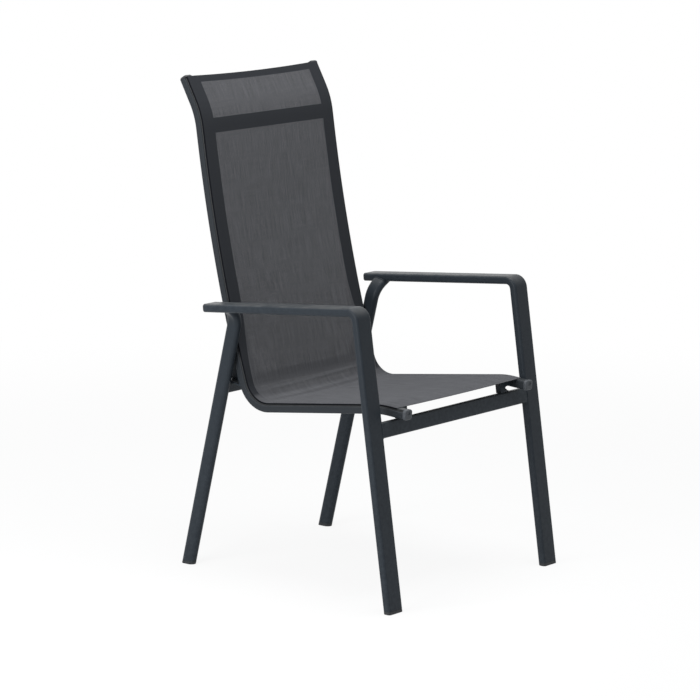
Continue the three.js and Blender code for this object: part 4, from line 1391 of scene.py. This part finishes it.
@dataclass
class Rails(Assembly):
    """The pair of S-shaped extrusions that carry the sling, with caps at both ends.

    Attributes:
        half_spacing: Chair's middle to a rail's middle.
        front_place: Front end of the metal.
        front_height: Height of the axis there.
        lengths: Corner-to-corner lengths of nose, seat, lower back, upper back and headrest.
        radii: Bend radii of nose, lumbar, back and shoulder.
        nose_rise: Rise of the nose to the rear, in degrees.
        turns: Turns of the bends, in degrees, positive towards the sitter.
        width: Section's size across the chair.
        depth: Section's size towards the sitter.
        corner: Radius of the section's corners.
        channel_radius: Radius of the channel that holds the cord.
        channel_inset: Outer face to the channel's middle.
        channel_lift: Rail's middle to the channel's middle, towards the sitter.
        lip: Radius of the rounding of both lips of the slot.
        slot: Where the slot opens the channel, in degrees round it from the outer side.
        outer_lip_height: Rail's middle to the middle of the outer lip's rounding.
        cloth_off: Rail's face to the middle of the cloth.
        cord_radius: Radius of the cord in the sling's edge.
        cap_overlap: How far the front cap stands out past the rail all round.
        cord_trim: Rail's front end to the cord's, and the same at the top.
        front_cap: Thickness, corner radius and edge radius of the front cap.
        cap_recess: Radius, depth and height above the middle of the round recess in the front cap.
        top_cap: Thickness and edge radius of the top cap.
    """

    half_spacing: float = 212 * MM
    front_place: float = -333 * MM
    front_height: float = 419 * MM
    lengths: tuple[float, ...] = (62 * MM, 380 * MM, 332.5 * MM, 324.5 * MM, 86.5 * MM)
    radii: tuple[float, ...] = (179 * MM, 66 * MM, 3500 * MM, 162 * MM)
    nose_rise: float = 3.8
    turns: tuple[float, ...] = (-10.8, 80.0, 8.5, -20.6)
    width: float = 22 * MM
    depth: float = 20 * MM
    corner: float = 2.5 * MM
    channel_radius: float = 3.2 * MM
    channel_inset: float = 5.2 * MM
    channel_lift: float = 5.8 * MM
    lip: float = 0.9 * MM
    slot: tuple[float, float] = (-3.6, 62.9)
    outer_lip_height: float = 3.2 * MM
    cloth_off: float = 0.95 * MM
    cord_radius: float = 2.6 * MM
    cap_overlap: float = 1.3 * MM
    cord_trim: tuple[float, float] = (1.2 * MM, 1.0 * MM)
    front_cap: tuple[float, float, float] = (7.5 * MM, 6.5 * MM, 3.0 * MM)
    cap_recess: tuple[float, float, float] = (4.5 * MM, 1.6 * MM, 3.5 * MM)
    top_cap: tuple[float, float] = (6 * MM, 6 * MM)

    @property
    def inner_face(self) -> float:
        """Chair's middle to a rail's inner face."""
        return self.half_spacing - self.width / 2

    @property
    def channel_outward(self) -> float:
        """Rail's middle to the channel's middle, away from the chair's middle."""
        return self.width / 2 - self.channel_inset

    @property
    def lip_middle(self) -> tuple[float, float]:
        """Middle of the front lip's rounding, which leads the cloth into the channel at 45 degrees."""
        up = self.depth / 2 - self.lip
        down = up - self.channel_lift - math.sqrt(2) * (self.lip + self.cloth_off)
        return self.channel_outward + down, up

    @property
    def outer_lip(self) -> tuple[float, float]:
        """Middle of the outer lip's rounding."""
        return self.width / 2 - self.lip, self.outer_lip_height

    def route(self, front_trim: float = 0.0, top_trim: float = 0.0) -> Route:
        """Gives the rail's axis, less a length at each end."""
        rise = math.radians(self.nose_rise)
        start = side_place(self.front_place, self.front_height) + heading_vector(rise) * front_trim
        cut = [0.0, *(bend_allowance(radius, turn) for radius, turn in zip(self.radii, self.turns)), 0.0]
        route = Route(start, rise)
        for number, length in enumerate(self.lengths):
            trim = front_trim if number == 0 else 0.0
            trim += top_trim if number == len(self.lengths) - 1 else 0.0
            route.run(length - cut[number] - cut[number + 1] - trim)
            if number < len(self.turns):
                route.bend(self.radii[number], self.turns[number])
        return route

    def outline(self) -> Outline:
        """Gives the left rail's section, with the slot across its outer front corner."""
        inner, outer = self.lip_middle, self.outer_lip
        points = arc_points(inner, self.lip, -30.0, 90.0, 8)
        steps = 5  # in each round corner, of which the first gives way to the slot
        points.extend(rounded_rectangle(self.width, self.depth, self.corner, steps)[steps + 1 :])
        points.extend(arc_points(outer, self.lip, 0.0, 45.0, 4))
        middle = (self.channel_outward, self.channel_lift)
        points.extend(arc_points(middle, self.channel_radius, self.slot[0], self.slot[1] - 360.0, 20)[:-1])
        return [(-x, y) for x, y in points][::-1]

    def rail(self) -> Piece:
        """Builds the extrusion in the middle plane."""
        return sweep("sling_rail", self.outline(), self.route(), FINE_BEND)

    def cord(self) -> Piece:
        """Builds the cord that lies in the channel."""
        middle = (-self.channel_outward, self.channel_lift)
        outline = arc_points(middle, self.cord_radius, 0.0, 360.0, 16)[:-1]
        return sweep("edge_cord", outline, self.route(*self.cord_trim), COARSE_BEND)

    def cap_at_front(self) -> Piece:
        """Builds the front cap, which stands out past the rail all round."""
        thickness, corner, edge = self.front_cap
        grown = 2 * self.cap_overlap
        top = CLEARANCE + thickness
        outline = rounded_rectangle(self.width + grown, self.depth + grown, corner)
        piece = rounded_block("rail_front_cap", outline, CLEARANCE, top, edge)
        radius, depth, rise = self.cap_recess
        rings = [(radius * 0.85, top - depth), (radius, top - depth / 2), (radius, top + 2 * MM)]
        cutter = turned("recess", rings)
        move_mesh(cutter, Matrix.Translation((0.0, rise, 0.0)))
        combine(piece, cutter, "DIFFERENCE")
        return move_mesh(piece, self.route().across(0.0) @ Matrix.Rotation(math.pi, 4, "Y"))

    def cap_at_top(self) -> Piece:
        """Builds the domed cap on the rail's top end."""
        thickness, edge = self.top_cap
        outline = rounded_rectangle(self.width, self.depth, self.corner)
        piece = domed_block("rail_top_cap", outline, CLEARANCE, CLEARANCE + thickness, edge, 7)
        route = self.route()
        return move_mesh(piece, route.across(route.length))

    def build(self) -> None:
        """Builds both rails from one set of pieces."""
        finishes = self.finishes
        placing = lambda side: side.mirror @ shift_across(self.half_spacing)
        self.hand_over_pair(self.rail(), finishes.rail, Slot.RAIL, placing)
        self.hand_over_pair(self.cap_at_front(), finishes.grey_plastic, Slot.GREY_PLASTIC, placing)
        self.hand_over_pair(self.cap_at_top(), finishes.plastic, Slot.PLASTIC, placing)
        self.hand_over_pair(self.cord(), finishes.cord, Slot.CORD, placing)


@dataclass(frozen=True)
class ScrewFit:
    """A dome-headed screw with a hexagon socket, on the sitter's left side.

    Attributes:
        name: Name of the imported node, without its side.
        place: Underside of the head.
        outward: Direction from the shank to the head.
        head_radius: Radius of the head.
        head_height: Height of the head.
        shank: Length of the shank.
        bright: Whether it is bare steel.
        socket: Corner radius of the middle of the socket's floor as a share of the head's radius, and
            the socket's depth as a share of the head's height.
        floor_ring: Width of the floor from its middle part to the socket's walls.
        point: Radius of the shank's tip as a share of the shank's, and length of its chamfer.
    """

    name: str
    place: Vector
    outward: Vector
    head_radius: float
    head_height: float
    shank: float
    bright: bool = False
    socket: tuple[float, float] = (0.42, 0.6)
    floor_ring: float = 0.5 * MM
    point: tuple[float, float] = (0.8, 0.5 * MM)


@dataclass
class Fittings(Assembly):
    """The brackets and screws between rails and crossbars, and the spreader between the rails.

    Attributes:
        rails: The rails that they hold.
        front_bar: The front crossbar.
        rear_bar: The rear crossbar.
        post: Rail's inner face to both sides of a front bracket's post.
        foot_end: Rail's inner face to the end of a front bracket's foot.
        foot: Thickness of that foot.
        arm: Underside and top of the arm to the rail, from the crossbar's middle.
        front_deep: Depth of a front bracket.
        fillet: Radius between post and arm.
        edges: Rounding of the edges of a front and of a rear bracket.
        corner: Where a rear bracket's base meets its riser.
        plate: Thickness of a rear bracket.
        riser: Length of its riser.
        rear_wide: Width of a rear bracket.
        web: Thickness of its side web.
        screw_radius: Radius of the shanks.
        foot_screw_inset: Rail's inner face to the middle of a front bracket's foot screw.
        spreader: Tall, thick, wall and half length of the spreader bar.
        spreader_place: Its middle from the rails' top end, and off their axis towards the sitter.
        plug: Length of the spreader's end fittings inside the bar, and their play in it.
        flange: Thickness of the flange on them.
        peg: Radius and reach of their pegs past the flange.
    """

    rails: Rails = field(kw_only=True)
    front_bar: Crossbar = field(kw_only=True)
    rear_bar: Crossbar = field(kw_only=True)
    post: tuple[float, float] = (37.5 * MM, 21 * MM)
    foot_end: float = 9.5 * MM
    foot: float = 3.2 * MM
    arm: tuple[float, float] = (29.5 * MM, 43.5 * MM)
    front_deep: float = 15 * MM
    fillet: float = 6.0 * MM
    edges: tuple[float, float] = (1.1 * MM, 0.5 * MM)
    corner: tuple[float, float] = (158.37 * MM, 420.57 * MM)
    plate: float = 3 * MM
    riser: float = 70 * MM
    rear_wide: float = 16 * MM
    web: float = 2.2 * MM
    screw_radius: float = 2.5 * MM
    foot_screw_inset: float = 15.2 * MM
    spreader: tuple[float, float, float, float] = (26 * MM, 12 * MM, 1.6 * MM, 197.4 * MM)
    spreader_place: tuple[float, float] = (114.5 * MM, 2.0 * MM)
    plug: tuple[float, float] = (14 * MM, 0.35 * MM)
    flange: float = 3 * MM
    peg: tuple[float, float] = (4 * MM, 5 * MM)

    def both_sides(self, part: Piece, material: Material, slot: Slot) -> None:
        """Hands over a piece modelled on the sitter's left side and its mirrored twin."""
        self.hand_over_pair(part, material, slot, lambda side: side.mirror, "piece")

    def screws(self) -> list[ScrewFit]:
        """Lists the four kinds of screw."""
        place, heading = self.front_bar.line()
        up = heading_vector(heading)
        seat = self.front_bar.tall / 2 + CLEARANCE + self.foot + CLEARANCE
        inner, middle = self.rails.inner_face, self.rails.half_spacing
        foot = place + up * seat + ACROSS * (inner - self.foot_screw_inset)
        small = (4.6 * MM, 2.8 * MM)  # radius and height of the other heads
        return [
            ScrewFit(
                "front_foot_screw", foot, up,
                head_radius=5.2 * MM, head_height=3.6 * MM, shank=11.3 * MM,
            ),
            ScrewFit(
                "front_rail_screw",
                Vector((inner - self.post[0] - CLEARANCE, -261.01 * MM, 421.91 * MM)),
                -ACROSS, *small, shank=47 * MM,
            ),
            ScrewFit(
                "rear_base_screw", Vector((middle, 194.40 * MM, 433.09 * MM)),
                Vector((0.0, -0.2453, 0.9695)), *small, shank=11.1 * MM, bright=True,
            ),
            ScrewFit(
                "rear_rail_screw", Vector((middle, 167.38 * MM, 438.74 * MM)),
                Vector((0.0, 0.9563, -0.2924)), *small, shank=11.0 * MM,
            ),
        ]

    def screw(self, fit: ScrewFit) -> Piece:
        """Turns a screw, sinks its socket and sets it in its place."""
        rim = fit.head_height / 3
        socket = fit.socket[0] * fit.head_radius
        tip, chamfer = fit.point
        rings = [(self.screw_radius * tip, -fit.shank), (self.screw_radius, chamfer - fit.shank)]
        rings += [(self.screw_radius, 0.0), (fit.head_radius, 0.0), (fit.head_radius, rim)]
        last = math.acos((socket + fit.floor_ring) / fit.head_radius)
        for step in range(1, DOME_STEPS + 1):
            angle = last * step / DOME_STEPS
            rise = (fit.head_height - rim) * math.sin(angle) / math.sin(last)
            rings.append((fit.head_radius * math.cos(angle), rim + rise))
        rings.append((socket, fit.head_height + TOUCH))
        piece = turned(fit.name, rings)
        sink_socket(piece, rings[-1][1], fit.socket[1] * fit.head_height)
        return move_mesh(piece, upright_at(fit.place, fit.outward))

    def finish_bracket(self, piece: Piece, edge: float, segments: int, holes: list[ScrewFit]) -> Piece:
        """Rounds a bracket's edges and drills its holes."""
        round_edges(piece, edge, segments, BRACKET_ANGLE)
        for fit in holes:
            drill(piece, fit.place, fit.outward, self.screw_radius + CLEARANCE, 2 * fit.shank)
        return piece

    def front_bracket(self, holes: list[ScrewFit]) -> Piece:
        """Builds a front bracket: a foot on the crossbar, a post, and an arm out to the rail."""
        low = self.front_bar.tall / 2 + CLEARANCE
        inner = self.rails.inner_face
        start, end = inner - self.post[0], inner - self.post[1]
        foot_end, foot_top = inner - self.foot_end, low + self.foot
        under, top = self.arm
        bend = arc_points((end + self.fillet, under - self.fillet), self.fillet, 180.0, 90.0, 6)
        tip = inner - CLEARANCE
        outline = [
            (start, low), (foot_end, low), (foot_end, foot_top), (end + 1 * MM, foot_top),
            (end, foot_top + 1 * MM), *bend, (tip, under), (tip, top), (start, top),
        ]
        place, heading = self.front_bar.line()
        up = heading_vector(heading)
        half = self.front_deep / 2
        placing = frame_at(place, ACROSS, up, ACROSS.cross(up))
        piece = push_out("front_bracket", outline, placing, -half, half)
        return self.finish_bracket(piece, self.edges[0], 3, holes)

    def rear_bracket(self, holes: list[ScrewFit]) -> Piece:
        """Builds a rear bracket: a base on the crossbar, a riser up the rail's back, and a web inside."""
        place, heading = self.rear_bar.line()
        up, back = heading_vector(heading), heading_vector(heading - math.pi / 2)
        lean = math.radians(self.rails.nose_rise + sum(self.rails.turns[:2]))
        rise, behind = heading_vector(lean), -left_vector(lean)
        foot = Vector((0.0, *self.corner))
        end = place + up * (self.rear_bar.tall / 2 + CLEARANCE) + back * (self.rear_bar.deep / 2)
        inner = foot + (back + rise) * (self.plate / math.sin(heading - math.pi / 2 - lean) * -1.0)
        top = foot + rise * self.riser
        profile = [end, foot, top, top + behind * self.plate, inner, end + up * self.plate]
        web = [
            foot + (back + rise) * self.web,
            top + behind * 0.5 * MM - rise * 2 * MM,
            top + behind * (self.plate + 4 * MM) - rise * 2 * MM,
            end + up * 24 * MM - back * MM,
            end + up * 0.5 * MM - back * MM,
        ]
        turn = Matrix(((0.0, 0.0, 1.0), (1.0, 0.0, 0.0), (0.0, 1.0, 0.0))).to_4x4()
        flat = lambda spots: [(spot.y, spot.z) for spot in spots]
        half, middle = self.rear_wide / 2, self.rails.half_spacing
        piece = push_out("rear_bracket", flat(profile), turn, middle - half, middle + half)
        side = push_out("side_web", flat(web), turn, middle - half, middle - half + self.web)
        combine(piece, side, "UNION")
        return self.finish_bracket(piece, self.edges[1], 2, holes)

    def spreader_frame(self) -> Matrix:
        """Places a section across the spreader, with its z to the sitter's left."""
        route = self.rails.route()
        place, heading = route.station(route.length - self.spreader_place[0])
        return across_chair(place + left_vector(heading) * self.spreader_place[1], heading)

    def spreader_end(self) -> Piece:
        """Builds an end fitting: a plug in the bar, a flange against the rail, and a peg into it."""
        tall, thick, wall, half = self.spreader
        slim = wall + self.plug[1]
        outline = rounded_rectangle(thick - 2 * slim, tall - 2 * slim, thick / 2 - slim - 0.01 * MM, 8)
        start, tail = half + CLEARANCE, half - self.plug[0]
        piece = start_solid("spreader_end", outline, Matrix.Translation((0.0, 0.0, tail)))
        extrude_up(start - tail)
        extrude_up(0.0)
        resize_ring(thick / (thick - 2 * slim), tall / (tall - 2 * slim), start)
        extrude_up(self.flange)
        tidy_shell(piece)
        radius, reach = self.peg
        end = start + self.flange
        rings = [(radius, end - 1 * MM), (radius, end + reach - 0.5 * MM), (radius * 0.85, end + reach)]
        combine(piece, turned("peg", rings), "UNION")
        return piece

    def build(self) -> None:
        """Builds the brackets, screws and spreader."""
        fits = self.screws()
        finishes = self.finishes
        self.both_sides(self.front_bracket(fits[:2]), finishes.frame, Slot.FRAME)
        self.both_sides(self.rear_bracket(fits[2:]), finishes.frame, Slot.FRAME)
        for fit in fits:
            steel = finishes.steel if fit.bright else finishes.dark_steel
            self.both_sides(self.screw(fit), steel, Slot.STEEL)
        tall, thick, wall, half = self.spreader
        outline = rounded_rectangle(thick, tall, thick / 2 - 0.01 * MM, 8)
        place = self.spreader_frame()
        bar = push_out("spreader_tube", outline, place, -half, half)
        delete_faces(bar, lambda face: abs(face.normal.x) > 0.9)
        thicken_inwards(bar, wall)
        self.hand_over(bar, finishes.frame, Slot.FRAME, "spreader_bar")
        self.both_sides(move_mesh(self.spreader_end(), place), finishes.plastic, Slot.PLASTIC)


@dataclass
class Sling(Assembly):
    """The stretched mesh and its doubled hems.

    Attributes:
        rails: The rails that hold it.
        sag: How far the middle hangs below the line from rail to rail, at least and at most.
        tight: Length either side of the spreader with the least sag, and where it has grown to the most.
        creases: Place from the front edge, half width and height of each soft crease.
        crease_slant: How far the creases move along the cloth for a length across it.
        front_setback: Rail's front end to the cloth's edge.
        top_setback: Rail's top end to the cloth's edge.
        top_dip: How far the top edge dips between the rails.
        dip_reach: How far down from the top edge the dip fades out.
        grip: How far into the cord the cloth ends, as a share of the cord's radius from its middle.
        hem_line: Chair's middle to the inner edge of the side hems.
        taper: How much the dark edge narrows towards the seat, and the flat places that it does so between.
        hem_drop: Cloth to the second layer behind it, at the sides and at the ends.
        end_hem: Depth of the hems at the top and the front.
        band: Start and end of the band in front of the spreader, from the top end of the rail.
        mesh_steps: Largest length of a face along the runs, across the front, and round the rail's edge.
        bend_step: Largest turn of a face in a bend, in degrees.
    """

    rails: Rails = field(kw_only=True)
    sag: tuple[float, float] = (1.5 * MM, 5.5 * MM)
    tight: tuple[float, float] = (60 * MM, 220 * MM)
    creases: tuple[tuple[float, float, float], ...] = (
        (433 * MM, 4.5 * MM, 1.9 * MM), (415 * MM, 7 * MM, -0.8 * MM), (397 * MM, 9 * MM, 2.6 * MM),
        (377 * MM, 8 * MM, 1.1 * MM),
    )
    crease_slant: float = 0.03
    front_setback: float = 20 * MM
    top_setback: float = -1 * MM
    top_dip: float = 3.5 * MM
    dip_reach: float = 95 * MM
    grip: float = 0.75
    hem_line: float = 183 * MM
    taper: tuple[float, float, float] = (17 * MM, 460 * MM, 640 * MM)
    hem_drop: tuple[float, float] = (0.5 * MM, 0.65 * MM)
    end_hem: float = 16 * MM
    band: tuple[float, float] = (98.5 * MM, 130.5 * MM)
    mesh_steps: tuple[float, float, float] = (18 * MM, 15 * MM, 0.4 * MM)
    bend_step: float = 2.0

    def edge_route(self) -> Route:
        """Gives the cloth's middle line in the rail's section, from the chair's middle to its cord.

        Its Y is the distance from the chair's middle and its Z is towards the sitter.
        """
        rails = self.rails
        off = rails.cloth_off
        route = (
            Route(Vector((0.0, 0.0, rails.depth / 2 + off)), 0.0)
            .run(rails.half_spacing + rails.lip_middle[0])
            .bend(rails.lip + off, -135.0)
        )
        middle = Vector((0.0, rails.half_spacing + rails.channel_outward, rails.channel_lift))
        return route.run((middle - route.place).length - self.grip * rails.cord_radius)

    @property
    def route(self) -> Route:
        """The rail's axis from the cloth's front edge to its top edge."""
        return self.rails.route(self.front_setback, self.top_setback)

    def across_places(self, start: float, end: float) -> list[float]:
        """Lists flat distances from the middle, close together round the rail's edge."""
        straight = self.edge_route().pieces[0][0]
        _, wide, close = self.mesh_steps
        spread = [wide * count for count in range(15)]
        rounding = [straight + close * count for count in range(12)]
        return sorted({start, end, *(place for place in (*spread, *rounding) if start < place < end)})

    def from_edge_to_edge(self, end: float) -> list[float]:
        """Lists flat places from one side of the cloth to the other, rising."""
        half = self.across_places(0.0, end)
        return [-place for place in reversed(half[1:])] + half

    def point(self, edge: Route, route: Route, across: float, distance: float, lift: float) -> Vector:
        """Puts a spot of the flat cloth on the stretched surface.

        Args:
            edge: The cloth's line in the rail's section.
            route: The rail's axis from the cloth's front edge to its top edge.
            across: Flat distance from the middle, positive to the sitter's left.
            distance: Distance along the route.
            lift: Distance off the cloth, positive towards the sitter.

        Returns:
            The spot on the chair.
        """
        spot, turned = edge.station(abs(across))
        spot = spot + left_vector(turned) * lift
        hang = max(1 - (across / self.rails.inner_face) ** 2, 0.0)
        near_top = max(1 - (route.length - distance) / self.dip_reach, 0.0)
        place, heading = route.station(distance - self.top_dip * hang * near_top)
        out = ACROSS * math.copysign(spot.y, across)
        low = self.sag_at(route.length, distance) * hang - self.crease_at(across, distance) * math.sqrt(hang)
        return place + out + left_vector(heading) * (spot.z - low)

    def crease_at(self, across: float, distance: float) -> float:
        """Finds how far the soft creases across the bend between back and seat stand out."""
        along = distance - self.crease_slant * across
        return sum(
            height * math.exp(-(((along - place) / half) ** 2)) for place, half, height in self.creases
        )

    def sag_at(self, whole: float, distance: float) -> float:
        """Finds the sag in the middle at a distance from the front edge.

        Args:
            whole: Length of the cloth along the rail.
            distance: Distance from the front edge.

        Returns:
            The least sag at the front edge and by the spreader, and more in between.
        """
        spreader = whole + self.top_setback - sum(self.band) / 2
        near = min(abs(distance - spreader), distance + self.tight[0])
        share = min(max((near - self.tight[0]) / (self.tight[1] - self.tight[0]), 0.0), 1.0)
        share = share * share * (3 - 2 * share)
        if distance > spreader:
            share = 0.0
        return self.sag[0] + (self.sag[1] - self.sag[0]) * share

    def row(self, route: Route, distance: float, before: Row) -> Row:
        """Makes the row at a distance on the route from a row before it."""
        heading = route.station(distance)[1]
        height = self.rails.depth / 2 + self.rails.cloth_off
        return distance, before[1] + distance - before[0] - (heading - before[2]) * height, heading

    def rows(self) -> list[Row]:
        """Lists the rows of the whole cloth, front to top."""
        route = self.route
        found = [(0.0, 0.0, route.station(0.0)[1])]
        for distance in route.distances(self.bend_step, self.mesh_steps[0])[1:]:
            found.append(self.row(route, distance, found[-1]))
        return found

    def rows_between(self, start: float, end: float) -> list[Row]:
        """Gives the rows between two distances from the cloth's front edge."""
        route, rows = self.route, self.rows()
        first, last = (
            self.row(route, place, [row for row in rows if row[0] <= place + TOUCH / 1000][-1])
            for place in (start, end)
        )
        return [first, *(row for row in rows if start + TOUCH < row[0] < end - TOUCH), last]

    def patch(self, name: str, across: list[float], rows: list[Row], lift: float) -> Piece:
        """Lays a patch of cloth on the stretched surface, with its flat coordinates as its map.

        Args:
            name: Name of the patch.
            across: Flat places across the cloth, rising.
            rows: Rows along the cloth.
            lift: Distance off the main cloth.

        Returns:
            The patch, facing the sitter.
        """
        bpy.ops.object.select_all(action="DESELECT")
        bpy.ops.mesh.primitive_grid_add(
            x_subdivisions=len(across) - 1, y_subdivisions=len(rows) - 1, size=1.0, calc_uvs=True
        )
        piece = named(bpy.context.object, name)
        flat = [(u, row[1]) for row in rows for u in across]
        edge, route = self.edge_route(), self.route
        for vertex in piece.data.vertices:
            row, column = divmod(vertex.index, len(across))
            vertex.co = self.point(edge, route, across[column], rows[row][0], lift)
        cloth = piece.data.uv_layers[0]
        cloth.name = "cloth"
        for loop in piece.data.loops:
            cloth.data[loop.index].uv = flat[loop.vertex_index]
        return piece

    def build(self) -> None:
        """Builds the sheet and its hems."""
        half = self.edge_route().length
        rows = self.rows()
        sheet = self.patch("sling_sheet", self.from_edge_to_edge(half), rows, 0.0)
        hems: list[Piece] = []
        for side in Side:
            places = [side.value * place for place in self.across_places(self.hem_line, half)]
            hems.append(self.patch(f"side_hem_{side.label}", sorted(places), rows, -self.hem_drop[0]))
        middle = self.from_edge_to_edge(self.rails.half_spacing)
        whole = rows[-1][0]
        rail_end = whole + self.top_setback
        top = self.rows_between(whole - self.end_hem, whole)
        front = self.rows_between(0.0, self.end_hem)
        band = self.rows_between(rail_end - self.band[1], rail_end - self.band[0])
        for name, part in (("top_hem", top), ("front_hem", front), ("spreader_band", band)):
            hems.append(self.patch(name, middle, part, -self.hem_drop[1]))
        for hem in hems:
            self.hand_over(hem, self.finishes.hem, Slot.SLING)
        narrowing, low, high = self.taper
        lines = {
            "Side Line": self.hem_line, "Front Line": self.end_hem, "Top Line": top[0][1],
            "Band Start": band[0][1], "Band End": band[-1][1],
            "Taper": narrowing, "Taper Low": low, "Taper High": high,
        }
        # The sheet's colour is lifted well above the hems' by painted light shining through the yarns.
        cloth = MeshCloth(
            "sling_mesh", (0.083, 0.0845, 0.0905), hem_lines=lines, wrap_line=self.edge_route().pieces[0][0]
        ).build()
        self.hand_over(sheet, cloth, Slot.SLING, "sling")
        LOG.info("Sling cut flat: %.4f by %.4f m", 2 * half, rows[-1][1])


@dataclass(frozen=True)
class Softbox:
    """A square soft lamp.

    Attributes:
        name: Its name.
        place: Its middle.
        size: Length of its sides.
        power: Its power in watts.
        aim: Where it looks.
    """

    name: str
    place: tuple[float, float, float]
    size: float
    power: float
    aim: tuple[float, float, float] = (0.0, 0.0, 0.5)

    def build(self) -> None:
        """Adds the lamp."""
        data = bpy.data.lights.new(self.name, "AREA")
        data.shape = "SQUARE"
        data.size = self.size
        data.energy = self.power
        lamp = bpy.data.objects.new(self.name, data)
        lamp.location = self.place
        look = Vector(self.aim) - Vector(self.place)
        lamp.rotation_euler = look.to_track_quat("-Z", "Y").to_euler()
        bpy.context.scene.collection.objects.link(lamp)


@dataclass(frozen=True)
class Studio:
    """Floor, light and camera.

    Attributes:
        target: Where the camera looks.
        distance: Camera to target.
        azimuth: Camera's turn round the chair from its front, in degrees.
        elevation: Camera's angle above the level, in degrees.
        lens: Focal length on a 36 mm wide image, in millimetres.
        floor_color: Colour of the floor where light falls on it.
        fade: Distances from the chair between which the floor's shadows fade out.
        white_share: How far the floor near the chair is lifted to white.
        sky_color: Colour of the even light.
        sky_strength: Its strength.
        softboxes: The lamps.
    """

    target: tuple[float, float, float] = (-0.0006, 0.02819, 0.4877)
    distance: float = 7.4166
    azimuth: float = -50.0
    elevation: float = 10.61
    lens: float = 171.14
    floor_color: Color = (0.86, 0.86, 0.86)
    fade: tuple[float, float] = (0.9, 3.0)
    white_share: float = 0.88
    sky_color: Color = (0.94, 0.97, 1.0)
    sky_strength: float = 0.35
    softboxes: tuple[Softbox, ...] = (
        Softbox("top_softbox", (0.0, -0.2, 2.55), 1.6, 46.0),
        Softbox("side_softbox", (-2.2, 0.1, 1.2), 1.4, 46.0),
    )

    def camera(self) -> None:
        """Adds the camera at the photograph's angle."""
        turn, tilt = math.radians(self.azimuth), math.radians(self.elevation)
        away = Vector((
            math.sin(turn) * math.cos(tilt), -math.cos(turn) * math.cos(tilt), math.sin(tilt)
        ))
        data = bpy.data.cameras.new("studio_camera")
        data.lens = self.lens
        data.sensor_width = 36.0
        data.clip_end = 200.0
        camera = bpy.data.objects.new("studio_camera", data)
        camera.location = Vector(self.target) + away * self.distance
        camera.rotation_euler = (-away).to_track_quat("-Z", "Y").to_euler()
        bpy.context.scene.collection.objects.link(camera)
        bpy.context.scene.camera = camera

    @staticmethod
    def seen(write: NodeWriter) -> Socket:
        """Gives one where the camera looks straight, by a reflection or through something clear."""
        path = write.add("ShaderNodeLightPath").outputs
        direct = write.math("MAXIMUM", path["Is Camera Ray"], path["Is Glossy Ray"])
        return write.math("MAXIMUM", direct, path["Is Transmission Ray"])

    def floor(self) -> None:
        """Adds the pale floor, which shows white to the camera and keeps the chair's shadow."""
        bpy.ops.mesh.primitive_circle_add(vertices=64, radius=60.0, fill_type="NGON")
        floor = named(bpy.context.object, "studio_floor")
        material, write, output = blank_material("studio_floor")
        matte = write.add("ShaderNodeBsdfDiffuse", {"Color": (*self.floor_color, 1.0)})
        white = write.add("ShaderNodeEmission", {"Color": WHITE, "Strength": 1.0})
        place = write.add("ShaderNodeTexCoord").outputs["Object"]
        away = write.add("ShaderNodeVectorMath", {0: place}, operation="LENGTH").outputs["Value"]
        lifted = write.remap(away, *self.fade, self.white_share, 1.0)
        share = write.times(self.seen(write), lifted)
        mixed = write.add("ShaderNodeMixShader", {0: share, 1: matte.outputs[0], 2: white.outputs[0]})
        write.feed(output.inputs["Surface"], mixed.outputs[0])
        floor.data.materials.append(material)

    def world(self) -> None:
        """Lights the room evenly, and shows it white."""
        world = bpy.data.worlds.new("studio_world")
        bpy.context.scene.world = world
        world.use_nodes = True
        world.node_tree.nodes.clear()
        write = NodeWriter(world.node_tree)
        output = world.node_tree.nodes.new("ShaderNodeOutputWorld")
        sky = {"Color": (*self.sky_color, 1.0), "Strength": self.sky_strength}
        dim = write.add("ShaderNodeBackground", sky).outputs[0]
        white = write.add("ShaderNodeBackground", {"Color": WHITE, "Strength": 1.0}).outputs[0]
        mixed = write.add("ShaderNodeMixShader", {0: self.seen(write), 1: dim, 2: white})
        write.feed(output.inputs["Surface"], mixed.outputs[0])

    def build(self) -> None:
        """Sets up the whole studio."""
        bpy.context.scene.view_settings.view_transform = "Standard"
        self.camera()
        self.floor()
        self.world()
        for softbox in self.softboxes:
            softbox.build()


def main() -> None:
    """Builds the chair's assemblies in order and reports each piece."""
    logging.basicConfig(level=logging.INFO, format="%(name)s: %(message)s")
    finishes = Finishes()
    Studio().build()
    frames = SideFrames(finishes)
    legs = RearLegs(finishes, frames=frames)
    front_bar = Crossbar(
        finishes, node="front_crossbar", foot_place=frames.foot_place, heading=90 - frames.leg_lean,
        height=384.8 * MM, tall=33.8 * MM, leg_face=frames.half_spacing - frames.width / 2,
        envelope=frames.envelope,
    )
    rear_bar = Crossbar(
        finishes, node="rear_crossbar", foot_place=legs.foot_place, heading=90 + legs.lean,
        height=417 * MM, tall=26 * MM, leg_face=legs.half_spacing - legs.width / 2,
        envelope=legs.envelope,
    )
    rails = Rails(finishes)
    sling = Sling(finishes, rails=rails)
    fittings = Fittings(finishes, rails=rails, front_bar=front_bar, rear_bar=rear_bar)
    for assembly in (frames, legs, front_bar, rear_bar, rails, fittings, sling):
        assembly.build()
        assembly.report()


if __name__ == "__main__":
    main()
